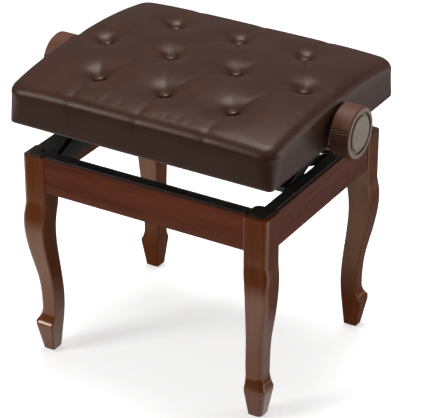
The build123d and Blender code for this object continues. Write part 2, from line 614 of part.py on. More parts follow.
# Steel under the seat board
upper_pivot_holes = cross_rod(GUIDE_PIVOT_Y, UPPER_PIVOT_Z, HALF_LENGTH, PIN_HOLE)
bush_holes = cross_rod(0, SPINDLE_Z, HALF_LENGTH, BUSH_DIAMETER / 2 + FIXED_CLEARANCE)
for end, sign in ENDS.items():
    section = [
        (sign * END_FLANGE_X, BOARD_BOTTOM),
        (sign * (END_FLANGE_X + ANGLE_WIDTH), BOARD_BOTTOM),
        (sign * (END_FLANGE_X + ANGLE_WIDTH), BOARD_BOTTOM - SHEET),
        (sign * RAIL_IN_X, BOARD_BOTTOM - SHEET),
        (sign * RAIL_IN_X, BOARD_BOTTOM - UPPER_FLANGE),
        (sign * END_FLANGE_X, BOARD_BOTTOM - UPPER_FLANGE),
    ]
    cuts = [upper_pivot_holes, bush_holes, end_slots(UPPER_PIVOT_Z), seat_screw_holes]
    keep(f"upper_angle_{end}", angle_bar(section, Plane.XZ, UPPER_HALF_DEPTH, cuts))
for face, sign in FACES.items():
    section = [
        (sign * UPPER_TIE_Y, BOARD_BOTTOM),
        (sign * UPPER_HALF_DEPTH, BOARD_BOTTOM),
        (sign * UPPER_HALF_DEPTH, BOARD_BOTTOM - SHEET),
        (sign * (UPPER_TIE_Y + SHEET), BOARD_BOTTOM - SHEET),
        (sign * (UPPER_TIE_Y + SHEET), BOARD_BOTTOM - TIE_FLANGE),
        (sign * UPPER_TIE_Y, BOARD_BOTTOM - TIE_FLANGE),
    ]
    keep(f"upper_tie_{face}", angle_bar(section, Plane.YZ, END_FLANGE_X, [seat_screw_holes]))
keep("seat_screws", screws(SEAT_SCREWS, BOARD_BOTTOM - SHEET, SEAT_SCREW_LENGTH, up=True))

with BuildPart() as spindle_bushes:
    for sign in ENDS.values():
        with BuildSketch(end_plane(sign, END_FLANGE_X - BUSH_INSIDE, SPINDLE_Z)):
            Circle(BUSH_DIAMETER / 2)
        extrude(amount=BUSH_INSIDE + SHEET)
        with BuildSketch(end_plane(sign, RAIL_IN_X, SPINDLE_Z)):
            Circle(BUSH_FLANGE_DIAMETER / 2)
        extrude(amount=BUSH_FLANGE)
    add(cross_rod(0, SPINDLE_Z, HALF_LENGTH, SPINDLE_DIAMETER / 2 + RUNNING_CLEARANCE), mode=Mode.SUBTRACT)
keep("spindle_bushes", spindle_bushes.part)

# Spindle with its collars and knobs
keep("spindle", cross_rod(0, SPINDLE_Z, SPINDLE_END_X, SPINDLE_DIAMETER / 2))
with BuildPart() as spindle_collars:
    for sign in ENDS.values():
        with BuildSketch(end_plane(sign, COLLAR_X, SPINDLE_Z)):
            Circle(COLLAR_STEP_DIAMETER / 2)
        extrude(amount=COLLAR_STEP)
        with BuildSketch(end_plane(sign, COLLAR_X + COLLAR_STEP, SPINDLE_Z)):
            Circle(COLLAR_DIAMETER / 2)
        extrude(amount=COLLAR_LENGTH - COLLAR_STEP)
    add(cross_rod(0, SPINDLE_Z, KNOB_X, SPINDLE_DIAMETER / 2 + FIXED_CLEARANCE), mode=Mode.SUBTRACT)
keep("spindle_collars", spindle_collars.part)

for end, sign in ENDS.items():
    back_plane = end_plane(sign, KNOB_X, SPINDLE_Z)
    with BuildPart() as knob:
        with BuildSketch(back_plane):
            Circle(KNOB_DIAMETER / 2)
        extrude(amount=KNOB_THICKNESS)
        chamfer(knob.edges(), KNOB_EDGE)
        with BuildSketch(back_plane):
            for middle in GRIP_MIDDLES:
                first = sign * middle - FLUTE_STEP * (FLUTE_COUNT - 1) / 2
                with PolarLocations(KNOB_DIAMETER / 2, FLUTE_COUNT, first, FLUTE_STEP * FLUTE_COUNT):
                    RegularPolygon(FLUTE_RADIUS, 4)
        extrude(amount=KNOB_THICKNESS, mode=Mode.SUBTRACT)
        with BuildSketch(end_plane(sign, KNOB_FACE_X, SPINDLE_Z)):
            Circle(KNOB_DIAMETER / 2 - KNOB_RIM)
        extrude(amount=-KNOB_RECESS, mode=Mode.SUBTRACT)
        with BuildSketch(back_plane):
            Circle(SPINDLE_DIAMETER / 2 + FIXED_CLEARANCE)
        extrude(amount=SPINDLE_IN_KNOB, mode=Mode.SUBTRACT)
    keep(f"{end}_knob", knob.part)
    with BuildPart() as cap:
        with BuildSketch(end_plane(sign, KNOB_FACE_X - KNOB_RECESS, SPINDLE_Z)):
            Circle(CAP_RADIUS)
        extrude(amount=CAP_HEIGHT)
        fillet(cap.faces().sort_by(Axis.X)[-1 if sign > 0 else 0].edges(), CAP_EDGE)
    keep(f"{end}_knob_cap", cap.part)

# End guides: bars A turn on the frame and run in the seat's slots, bars B the other way about
for end, sign in ENDS.items():
    plane_a = Plane(origin=(sign * GUIDE_A_X, 0, 0), x_dir=(0, 1, 0), z_dir=(1, 0, 0))
    plane_b = Plane(origin=(sign * GUIDE_B_X, 0, 0), x_dir=(0, 1, 0), z_dir=(1, 0, 0))
    holes_a = [(0, FIXED_PIN_HOLE), (0.5, FIXED_PIN_HOLE), (1, FIXED_PIN_HOLE)]
    holes_b = [(0, FIXED_PIN_HOLE), (0.5, CROSSING_HOLE / 2), (1, FIXED_PIN_HOLE)]
    low, high = (GUIDE_PIVOT_Y, LOWER_PIVOT_Z), (ROLLER_Y, UPPER_PIVOT_Z)
    keep(f"guide_a_bar_{end}", link(plane_a, low, high, sign * BAR_THICKNESS, holes_a))
    low, high = (ROLLER_Y, LOWER_PIVOT_Z), (GUIDE_PIVOT_Y, UPPER_PIVOT_Z)
    keep(f"guide_b_bar_{end}", link(plane_b, high, low, sign * BAR_THICKNESS, holes_b))

SHAFT_A_END = RAIL_IN_X + SHEET
SHAFT_B_END = RAIL_IN_X - PIN_END_GAP
keep("guide_a_shaft", cross_rod(ROLLER_Y, UPPER_PIVOT_Z, SHAFT_A_END, PIN_DIAMETER / 2))
keep("guide_b_shaft", cross_rod(ROLLER_Y, LOWER_PIVOT_Z, SHAFT_B_END, PIN_DIAMETER / 2))

CROSSING = ((GUIDE_PIVOT_Y + ROLLER_Y) / 2, (LOWER_PIVOT_Z + UPPER_PIVOT_Z) / 2)
keep("guide_a_pivots", headed_pins(GUIDE_PIVOT_Y, LOWER_PIVOT_Z, GUIDE_A_X, SHAFT_B_END))
keep("guide_b_pivots", headed_pins(GUIDE_PIVOT_Y, UPPER_PIVOT_Z, GUIDE_B_X, SHAFT_A_END))
keep("guide_crossing_pins", headed_pins(*CROSSING, GUIDE_B_X - PIN_END_GAP, GUIDE_A_X + BAR_THICKNESS))

# Lift struts and the nuts they hang on; strut A leans to the right, strut B to the left
for name, lean, inner in (("a", 1, STRUT_INNER), ("b", -1, STRUT_OUTER)):
    foot = (-lean * STRUT_FOOT_X, STRUT_FOOT_Z)
    top = (lean * NUT_X, SPINDLE_Z)
    holes = [(0, PIN_HOLE), (1, PIN_HOLE)]
    with BuildPart() as strut:
        for side in (-1, 1):
            plane = Plane(origin=(0, side * inner, 0), x_dir=(1, 0, 0), z_dir=(0, -1, 0))
            add(link(plane, foot, top, -side * BAR_THICKNESS, holes))
    keep(f"lift_strut_{name}", strut.part)
    half_width = STRUT_INNER - NUT_SIDE_GAP
    with BuildPart() as nut:
        with BuildSketch(Plane(origin=(lean * NUT_X, 0, SPINDLE_Z), x_dir=(0, 1, 0), z_dir=(1, 0, 0))):
            Rectangle(2 * half_width, NUT_BLOCK_HEIGHT)
            Circle(SPINDLE_DIAMETER / 2 + NUT_BORE_CLEARANCE, mode=Mode.SUBTRACT)
        extrude(amount=NUT_BLOCK_LENGTH / 2, both=True)
        for side in (-1, 1):
            with BuildSketch(Plane(origin=(lean * NUT_X, side * half_width, SPINDLE_Z), z_dir=(0, side, 0))):
                Circle(PIN_DIAMETER / 2)
            extrude(amount=inner + BAR_THICKNESS + PIN_END_GAP - half_width)
    keep(f"spindle_nut_{name}", nut.part)
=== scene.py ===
"""Looks of the height-adjustable piano bench: tufted seat, lacquered frame, steel lift and knobs.

Metres, in the frame of the solids: +X along the seat to the right-hand knob, -Y to the player, +Z up.
"""
import logging
import math
from dataclasses import dataclass, field
from enum import Enum
from typing import Iterable, Sequence, Union

import bmesh
import bpy
import numpy as np
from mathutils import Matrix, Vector


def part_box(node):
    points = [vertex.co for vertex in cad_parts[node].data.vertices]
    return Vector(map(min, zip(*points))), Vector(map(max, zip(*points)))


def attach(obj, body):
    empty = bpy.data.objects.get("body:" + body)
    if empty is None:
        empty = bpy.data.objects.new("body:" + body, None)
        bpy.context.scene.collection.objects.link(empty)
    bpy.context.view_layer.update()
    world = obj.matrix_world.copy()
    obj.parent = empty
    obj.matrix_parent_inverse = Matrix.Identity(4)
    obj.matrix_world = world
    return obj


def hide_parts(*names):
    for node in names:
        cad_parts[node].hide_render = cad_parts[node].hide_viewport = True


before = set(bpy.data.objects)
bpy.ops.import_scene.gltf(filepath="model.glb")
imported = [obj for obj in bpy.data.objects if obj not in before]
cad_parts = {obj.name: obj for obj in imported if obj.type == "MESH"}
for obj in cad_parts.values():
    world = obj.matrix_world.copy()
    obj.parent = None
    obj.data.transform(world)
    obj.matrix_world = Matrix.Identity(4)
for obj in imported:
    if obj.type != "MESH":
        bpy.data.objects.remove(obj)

LOG = logging.getLogger("piano_bench")
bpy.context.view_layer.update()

WELD_DISTANCE = 1e-6
SORTED_DIGITS = 4
EASED_ANGLE = math.radians(40)
EASED_SEGMENTS = 2
QUARTER_TURN = math.pi / 2
FULL_TURN = 2 * math.pi
# Mesh mark of the pleats' creases; the vinyl paints shade into its colour along it.
CREASE_MARK = "crease_and_painted_shade"
WHITE = (1.0, 1.0, 1.0, 1.0)

# The Mix node repeats its sockets' names for each kind of data, so its colours go by number.
MIX_SHARE = 0
MIX_FIRST = 6
MIX_SECOND = 7
MIX_RESULT = 2

Colour = tuple[float, float, float, float]
Span = tuple[float, float]
Face = tuple[int, ...]
Mesh = tuple[np.ndarray, list[Face]]
Pleat = tuple[np.ndarray, np.ndarray]
Entry = Union["Signal", float, Sequence[float]]


class Grain(Enum):
    """Which way the grain of a piece of wood runs, as stretch factors per metre."""

    ALONG_X = (7.0, 150.0, 150.0)
    ALONG_Y = (150.0, 7.0, 150.0)
    ALONG_Z = (150.0, 150.0, 7.0)


class Stain(Enum):
    """Stains of the lacquered wood, each as its dark and its light grain's colour."""

    LEGS = ((0.124, 0.0275, 0.0056, 1.0), (0.178, 0.0430, 0.0092, 1.0))
    RAILS = ((0.090, 0.0180, 0.0085, 1.0), (0.180, 0.0405, 0.0185, 1.0))


@dataclass(frozen=True)
class Noise:
    """A noise pattern: features per unit, octaves, and weight of the finer octaves."""

    scale: float
    detail: float
    roughness: float = 0.5


@dataclass(frozen=True)
class Relief:
    """A finish's fine relief: its height in metres and how strongly it shows."""

    height: float
    strength: float


class Signal:
    """A socket that Python's operators work on: each operation adds a Math node."""

    def __init__(self, shader: "Shader", socket: bpy.types.NodeSocket) -> None:
        """Wrap one output socket of a finish."""
        self.shader = shader
        self.socket = socket

    def _math(self, operation: str, first: Entry, second: Entry) -> "Signal":
        """Add a Math node of that operation."""
        return self.shader.signal("ShaderNodeMath", {"operation": operation}, {0: first, 1: second})

    def __add__(self, other: Entry) -> "Signal":
        """Sum."""
        return self._math("ADD", self, other)

    def __radd__(self, other: Entry) -> "Signal":
        """Sum, from the right."""
        return self._math("ADD", other, self)

    def __sub__(self, other: Entry) -> "Signal":
        """Difference."""
        return self._math("SUBTRACT", self, other)

    def __rsub__(self, other: Entry) -> "Signal":
        """Difference, from the right."""
        return self._math("SUBTRACT", other, self)

    def __mul__(self, other: Entry) -> "Signal":
        """Product."""
        return self._math("MULTIPLY", self, other)

    def __rmul__(self, other: Entry) -> "Signal":
        """Product, from the right."""
        return self._math("MULTIPLY", other, self)


class Shader:
    """The node graph of one finish."""

    def __init__(self, owner: bpy.types.Material | bpy.types.World) -> None:
        """Start with an empty graph.

        Args:
            owner: the material or world that the graph belongs to.
        """
        self.owner = owner
        self.owner.use_nodes = True
        self.tree = self.owner.node_tree
        self.tree.nodes.clear()

    @classmethod
    def named(cls, name: str) -> "Shader":
        """The graph of a new material of that name."""
        return cls(bpy.data.materials.new(name))

    def node(self, kind: str, settings: dict | None = None, inputs: dict | None = None) -> bpy.types.Node:
        """Add a node.

        Args:
            kind: Blender's type name of the node.
            settings: properties to set first.
            inputs: values or signals for sockets, by name or number.

        Returns:
            The new node.
        """
        made = self.tree.nodes.new(kind)
        for key, value in (settings or {}).items():
            setattr(made, key, value)
        for key, value in (inputs or {}).items():
            if isinstance(value, Signal):
                self.tree.links.new(value.socket, made.inputs[key])
            else:
                made.inputs[key].default_value = value
        return made

    def signal(self, kind: str, settings: dict | None = None, inputs: dict | None = None,
               output: int | str = 0) -> Signal:
        """Add a node and take one of its outputs, by name or number."""
        return Signal(self, self.node(kind, settings, inputs).outputs[output])

    def place(self) -> Signal:
        """The surface point in the object's own frame, in metres."""
        return self.signal("ShaderNodeTexCoord", output="Object")

    def stretch(self, vector: Signal, factors: Sequence[float]) -> Signal:
        """A vector multiplied axis by axis."""
        return self.signal("ShaderNodeVectorMath", {"operation": "MULTIPLY"}, {0: vector, 1: factors})

    def shift(self, vector: Signal, other: Signal) -> Signal:
        """The sum of two vectors."""
        return self.signal("ShaderNodeVectorMath", {"operation": "ADD"}, {0: vector, 1: other})

    def noise(self, vector: Signal, noise: Noise, output: int | str = 0) -> Signal:
        """Noise between 0 and 1, looked up at a vector.

        Args:
            vector: where to look it up.
            noise: its pattern.
            output: the value, or "Color" for three of them.

        Returns:
            The noise.
        """
        inputs = {
            "Vector": vector,
            "Scale": noise.scale,
            "Detail": noise.detail,
            "Roughness": noise.roughness,
        }
        return self.signal("ShaderNodeTexNoise", None, inputs, output)

    def mask(self, value: Signal, span: Span) -> Signal:
        """A value spread over 0 to 1 between two limits, and held there outside them."""
        inputs = {"Value": value, "From Min": span[0], "From Max": span[1]}
        return self.signal("ShaderNodeMapRange", {"clamp": True}, inputs)

    def mix(self, share: Entry, first: Entry, second: Entry) -> Signal:
        """Two colours mixed, by the second one's share."""
        inputs = {MIX_SHARE: share, MIX_FIRST: first, MIX_SECOND: second}
        return self.signal("ShaderNodeMix", {"data_type": "RGBA"}, inputs, MIX_RESULT)

    def bump(self, height: Signal, relief: Relief) -> Signal:
        """A surface normal tilted by a height from 0 to 1."""
        inputs = {"Height": height, "Distance": relief.height, "Strength": relief.strength}
        return self.signal("ShaderNodeBump", None, inputs)

    def mix_shaders(self, share: Entry, first: Signal, second: Signal) -> Signal:
        """Two shaders mixed, by the second one's share."""
        return self.signal("ShaderNodeMixShader", None, {0: share, 1: first, 2: second})

    def surface(self, inputs: dict) -> bpy.types.Material:
        """Close the graph with a surface shader.

        Args:
            inputs: its sockets' values or signals.

        Returns:
            The finished material.
        """
        shader = self.signal("ShaderNodeBsdfPrincipled", None, inputs)
        self.node("ShaderNodeOutputMaterial", None, {"Surface": shader})
        return self.owner


@dataclass(frozen=True)
class Lacquer:
    """Stained mahogany under gloss lacquer."""

    name: str
    grain: Grain
    stain: Stain
    pore: Colour = (0.045, 0.0085, 0.0035, 1.0)
    pore_share: float = 0.55
    waver: Noise = Noise(9.0, 2.0)
    waver_reach: float = 0.012
    bands: Noise = Noise(0.28, 2.0)
    band_share: float = 0.55
    streaks: Noise = Noise(1.6, 5.0, 0.65)
    streak_share: float = 0.45
    tone_span: Span = (0.36, 0.64)
    pores: Noise = Noise(7.0, 2.0)
    pore_span: Span = (0.60, 0.74)
    ripple: Noise = Noise(60.0, 2.0)
    ripple_rise: float = 0.6
    pore_drop: float = 0.25
    relief: Relief = Relief(0.0003, 0.4)
    roughness: float = 0.09
    streak_roughness: float = 0.10
    gloss: float = 0.45
    sheen: Colour = (1.0, 0.72, 0.46, 1.0)
    coat: float = 0.25
    coat_roughness: float = 0.09

    def material(self) -> bpy.types.Material:
        """Draw bands, streaks and pores out along the grain.

        Returns:
            The finish.
        """
        dark, light = self.stain.value
        shader = Shader.named(self.name)
        place = shader.place()
        waver = shader.stretch(shader.noise(place, self.waver, "Color"), (self.waver_reach,) * 3)
        along = shader.stretch(shader.shift(place, waver), self.grain.value)
        bands = shader.noise(along, self.bands)
        streaks = shader.noise(along, self.streaks)
        pores = shader.mask(shader.noise(along, self.pores), self.pore_span)
        tone = shader.mask(bands * self.band_share + streaks * self.streak_share, self.tone_span)
        wood = shader.mix(tone, dark, light)
        height = shader.noise(place, self.ripple) * self.ripple_rise - pores * self.pore_drop
        return shader.surface({
            "Base Color": shader.mix(pores * self.pore_share, wood, self.pore),
            "Roughness": self.roughness + streaks * self.streak_roughness,
            "Specular IOR Level": self.gloss,
            "Specular Tint": self.sheen,
            "Coat Weight": self.coat,
            "Coat Roughness": self.coat_roughness,
            "Normal": shader.bump(height, self.relief),
        })


@dataclass(frozen=True)
class BareWood:
    """Sanded, unfinished wood of the hidden pieces."""

    name: str
    grain: Grain
    dark: Colour = (0.30, 0.17, 0.085, 1.0)
    light: Colour = (0.50, 0.33, 0.19, 1.0)
    streaks: Noise = Noise(1.1, 5.0, 0.6)
    tone_span: Span = (0.3, 0.7)
    relief: Relief = Relief(0.0005, 0.5)
    roughness: float = 0.62
    streak_roughness: float = 0.2

    def material(self) -> bpy.types.Material:
        """Draw soft streaks out along the grain.

        Returns:
            The finish.
        """
        shader = Shader.named(self.name)
        streaks = shader.noise(shader.stretch(shader.place(), self.grain.value), self.streaks)
        return shader.surface({
            "Base Color": shader.mix(shader.mask(streaks, self.tone_span), self.dark, self.light),
            "Roughness": self.roughness + streaks * self.streak_roughness,
            "Normal": shader.bump(streaks, self.relief),
        })


@dataclass(frozen=True)
class Vinyl:
    """Dark brown leather-grained vinyl, creased along the pleats, with painted shade darkening the creases.
    """

    name: str
    colour: Colour
    worn: Colour
    roughness: float
    clouds: Noise = Noise(14.0, 3.0)
    worn_span: Span = (0.35, 0.70)
    # Painted shade: this near-black colour is mixed in along the creases, standing in for the shade that
    # falls in them.
    crease_and_painted_shade: Colour = (0.008, 0.0035, 0.0025, 1.0)
    painted_crease_shade_share: float = 0.8
    pebbles_per_metre: float = 620.0
    pebble_randomness: float = 0.9
    fine: Noise = Noise(1500.0, 2.0)
    pebble_rise: float = 0.8
    fine_rise: float = 0.35
    crease_drop: float = 1.5
    relief: Relief = Relief(0.00018, 0.55)
    cloud_roughness: float = 0.12
    crease_roughness: float = 0.2
    gloss: float = 0.32
    sheen: Colour = (1.0, 0.87, 0.79, 1.0)

    def material(self) -> bpy.types.Material:
        """Lay pebble grain, faint cloudiness and creases darkened with painted shade.

        Returns:
            The finish.
        """
        shader = Shader.named(self.name)
        place = shader.place()
        clouds = shader.noise(place, self.clouds)
        crease_and_painted_shade = shader.signal("ShaderNodeAttribute", {"attribute_name": CREASE_MARK}, None, "Fac")
        pebbles = shader.signal(
            "ShaderNodeTexVoronoi",
            {"feature": "F1", "distance": "EUCLIDEAN"},
            {"Vector": place, "Scale": self.pebbles_per_metre, "Randomness": self.pebble_randomness},
            "Distance",
        )
        grain = (1 - pebbles) * self.pebble_rise + shader.noise(place, self.fine) * self.fine_rise
        base = shader.mix(shader.mask(clouds, self.worn_span), self.colour, self.worn)
        return shader.surface({
            # The crease mark paints shade into the colour, and also roughens and sinks the relief.
            "Base Color": shader.mix(crease_and_painted_shade * self.painted_crease_shade_share, base, self.crease_and_painted_shade),
            "Roughness": self.roughness + clouds * self.cloud_roughness + crease_and_painted_shade * self.crease_roughness,
            "Specular IOR Level": self.gloss,
            "Specular Tint": self.sheen,
            "Normal": shader.bump(grain - crease_and_painted_shade * self.crease_drop, self.relief),
        })


@dataclass(frozen=True)
class PaintedSteel:
    """Black stoved paint on folded steel."""

    name: str
    colour: Colour = (0.010, 0.010, 0.0105, 1.0)
    scuffed: Colour = (0.022, 0.021, 0.021, 1.0)
    dust: Noise = Noise(22.0, 4.0)
    dust_span: Span = (0.4, 0.75)
    peel: Noise = Noise(900.0, 1.0)
    relief: Relief = Relief(0.0001, 0.4)
    roughness: float = 0.34
    dust_roughness: float = 0.18

    def material(self) -> bpy.types.Material:
        """Lay slight orange peel and a dusty variation of tone.

        Returns:
            The finish.
        """
        shader = Shader.named(self.name)
        place = shader.place()
        dust = shader.noise(place, self.dust)
        return shader.surface({
            "Base Color": shader.mix(shader.mask(dust, self.dust_span), self.colour, self.scuffed),
            "Roughness": self.roughness + dust * self.dust_roughness,
            "Normal": shader.bump(shader.noise(place, self.peel), self.relief),
        })


@dataclass(frozen=True)
class ZincSteel:
    """Zinc-plated screws, pins, nuts and spindle."""

    name: str
    colour: Colour = (0.50, 0.50, 0.49, 1.0)
    dull: Colour = (0.34, 0.34, 0.35, 1.0)
    clouds: Noise = Noise(120.0, 3.0)
    marks: Noise = Noise(1.0, 2.0)
    marks_per_metre: tuple[float, float, float] = (3000.0, 300.0, 300.0)
    relief: Relief = Relief(0.00004, 0.4)
    roughness: float = 0.28
    cloud_roughness: float = 0.2

    def material(self) -> bpy.types.Material:
        """Lay cloudy plating with fine turning marks.

        Returns:
            The finish.
        """
        shader = Shader.named(self.name)
        place = shader.place()
        clouds = shader.noise(place, self.clouds)
        marks = shader.noise(shader.stretch(place, self.marks_per_metre), self.marks)
        return shader.surface({
            "Base Color": shader.mix(clouds, self.colour, self.dull),
            "Metallic": 1.0,
            "Roughness": self.roughness + clouds * self.cloud_roughness,
            "Normal": shader.bump(marks, self.relief),
        })


@dataclass(frozen=True)
class MouldedPlastic:
    """Moulded plastic of the knobs, glides and bushes."""

    name: str
    colour: Colour
    faded: Colour
    roughness: float
    # Painted reflection: a pale colour for faces turned along X, standing in for the light that the knobs'
    # ends reflect.
    painted_end_reflection: Colour | None = None
    painted_end_reflection_span: Span = (0.6, 0.95)
    mottle: Noise = Noise(40.0, 3.0)
    faded_span: Span = (0.3, 0.7)
    texture: Noise = Noise(1400.0, 2.0)
    relief: Relief = Relief(0.00006, 0.5)
    mottle_roughness: float = 0.12
    gloss: float = 0.28

    def material(self) -> bpy.types.Material:
        """Lay a fine moulded texture over slightly uneven colour, with a pale colour painted on the end
        faces as their reflection.

        Returns:
            The finish.
        """
        shader = Shader.named(self.name)
        place = shader.place()
        mottle = shader.noise(place, self.mottle)
        colour = shader.mix(shader.mask(mottle, self.faded_span), self.colour, self.faded)
        # Painted reflection: mix the pale colour in where the normal runs along X.
        if self.painted_end_reflection:
            facing = shader.signal("ShaderNodeTexCoord", output="Normal")
            endwise = shader.signal("ShaderNodeSeparateXYZ", None, {0: facing})
            ends = shader.mask(endwise * endwise, self.painted_end_reflection_span)
            colour = shader.mix(ends, colour, self.painted_end_reflection)
        return shader.surface({
            "Base Color": colour,
            "Roughness": self.roughness + mottle * self.mottle_roughness,
            "Specular IOR Level": self.gloss,
            "Normal": shader.bump(shader.noise(place, self.texture), self.relief),
        })


def node(name: str) -> bpy.types.Object:
    """The object of a solid, by name."""
    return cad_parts[name]


def dress(obj: bpy.types.Object, material: bpy.types.Material) -> None:
    """Give a piece one finish all over and report it.

    Args:
        obj: the piece.
        material: its finish.
    """
    obj.data.materials.clear()
    obj.data.materials.append(material)
    LOG.info("%s: %s", obj.name, material.name)


def ease_edges(obj: bpy.types.Object, width: float) -> None:
    """Round an object's sharp edges a little.

    Args:
        obj: the solid's object, whose own mesh stays as it is.
        width: width of the rounding.
    """
    weld = obj.modifiers.new("joined", "WELD")
    weld.merge_threshold = WELD_DISTANCE
    bevel = obj.modifiers.new("eased", "BEVEL")
    bevel.width = width
    bevel.segments = EASED_SEGMENTS
    bevel.limit_method = "ANGLE"
    bevel.angle_limit = EASED_ANGLE


def new_object(name: str, points: np.ndarray, faces: Iterable[Sequence[int]]) -> bpy.types.Object:
    """Make a smooth mesh object.

    Args:
        name: its name.
        points: its vertices.
        faces: its faces, as vertex numbers.

    Returns:
        The object, in the scene.
    """
    mesh = bpy.data.meshes.new(name)
    mesh.from_pydata(points.tolist(), [], [tuple(map(int, face)) for face in faces])
    mesh.polygons.foreach_set("use_smooth", [True] * len(mesh.polygons))
    mesh.update()
    obj = bpy.data.objects.new(name, mesh)
    bpy.context.scene.collection.objects.link(obj)
    return obj


def vertices(obj: bpy.types.Object) -> np.ndarray:
    """An object's vertices, as rows."""
    return np.array([vertex.co for vertex in obj.data.vertices])


def bake_modifiers(obj: bpy.types.Object) -> None:
    """Replace an object's mesh by what its modifiers make of it.

    Args:
        obj: the object, which has no modifiers afterwards.
    """
    evaluated = obj.evaluated_get(bpy.context.evaluated_depsgraph_get())
    mesh = bpy.data.meshes.new_from_object(evaluated)
    obj.modifiers.clear()
    old = obj.data
    obj.data = mesh
    bpy.data.meshes.remove(old)


def cut_away(obj: bpy.types.Object, points: np.ndarray, faces: Iterable[Sequence[int]]) -> None:
    """Cut a closed shape out of an object.

    Args:
        obj: the object.
        points: the shape's vertices.
        faces: the shape's faces, turned either way.
    """
    cutter = new_object("cutter", points, faces)
    work = bmesh.new()
    work.from_mesh(cutter.data)
    bmesh.ops.recalc_face_normals(work, faces=work.faces)
    work.to_mesh(cutter.data)
    work.free()
    cut = obj.modifiers.new("cut", "BOOLEAN")
    cut.object = cutter
    cut.solver = "EXACT"
    bake_modifiers(obj)
    bpy.data.objects.remove(cutter)


def islands(obj: bpy.types.Object) -> list[tuple[np.ndarray, np.ndarray]]:
    """Find the separate solids in an object's mesh.

    Args:
        obj: the object.

    Returns:
        Low and high corner of each solid.
    """
    work = bmesh.new()
    work.from_mesh(obj.data)
    bmesh.ops.remove_doubles(work, verts=work.verts, dist=WELD_DISTANCE)
    left = set(work.verts)
    boxes = []
    while left:
        group, edge = set(), {left.pop()}
        while edge:
            group |= edge
            edge = {link.other_vert(vertex) for vertex in edge for link in vertex.link_edges} - group
        left -= group
        points = np.array([vertex.co for vertex in group])
        boxes.append((points.min(axis=0), points.max(axis=0)))
    work.free()
    return sorted(boxes, key=lambda box: tuple(np.round(box[0], SORTED_DIGITS)))


def tube_faces(rings: int, sides: int) -> list[Face]:
    """Faces between rings of points that follow each other.

    Args:
        rings: how many rings there are.
        sides: points of each ring.

    Returns:
        The faces, ring by ring.
    """
    faces = []
    for low in range(0, (rings - 1) * sides, sides):
        high = low + sides
        for k in range(sides):
            after = (k + 1) % sides
            faces.append((low + k, low + after, high + after, high + k))
    return faces


def revolved(profile: Sequence[tuple[float, float]], sides: int) -> Mesh:
    """A profile turned about Z.

    Args:
        profile: radius and height of each point, the last one on the axis.
        sides: points round the axis.

    Returns:
        Vertices and faces.
    """
    angles = np.linspace(0.0, FULL_TURN, sides, endpoint=False)
    around = np.column_stack((np.cos(angles), np.sin(angles)))
    rings = [np.column_stack((radius * around, np.full(sides, z))) for radius, z in profile[:-1]]
    points = np.vstack(rings + [np.array([[0.0, 0.0, profile[-1][1]]])])
    top = len(points) - 1
    last = top - sides
    faces = tube_faces(len(rings), sides)
    faces += [(last + k, last + (k + 1) % sides, top) for k in range(sides)]
    faces.append(tuple(reversed(range(sides))))
    return points, faces


def domed(radius: float, foot: float, rise: float, steps: int) -> list[tuple[float, float]]:
    """A dome's profile, above the rim that it stands on.

    Args:
        radius: of the rim.
        foot: height of the rim.
        rise: of the dome over the rim.
        steps: from the rim to the axis.

    Returns:
        Radius and height of each point, the last one on the axis.
    """
    turns = [step / steps * QUARTER_TURN for step in range(1, steps)]
    profile = [(radius * math.cos(turn), foot + rise * math.sin(turn)) for turn in turns]
    return profile + [(0.0, foot + rise)]


def copies(mesh: Mesh, places: Sequence[Sequence[float]]) -> Mesh:
    """One mesh set at several places.

    Args:
        mesh: its vertices and faces.
        places: where its origin goes.

    Returns:
        Vertices and faces of all the copies.
    """
    points, faces = mesh
    starts = range(0, len(points) * len(places), len(points))
    moved = np.vstack([points + np.asarray(place) for place in places])
    return moved, [tuple(start + k for k in face) for start in starts for face in faces]


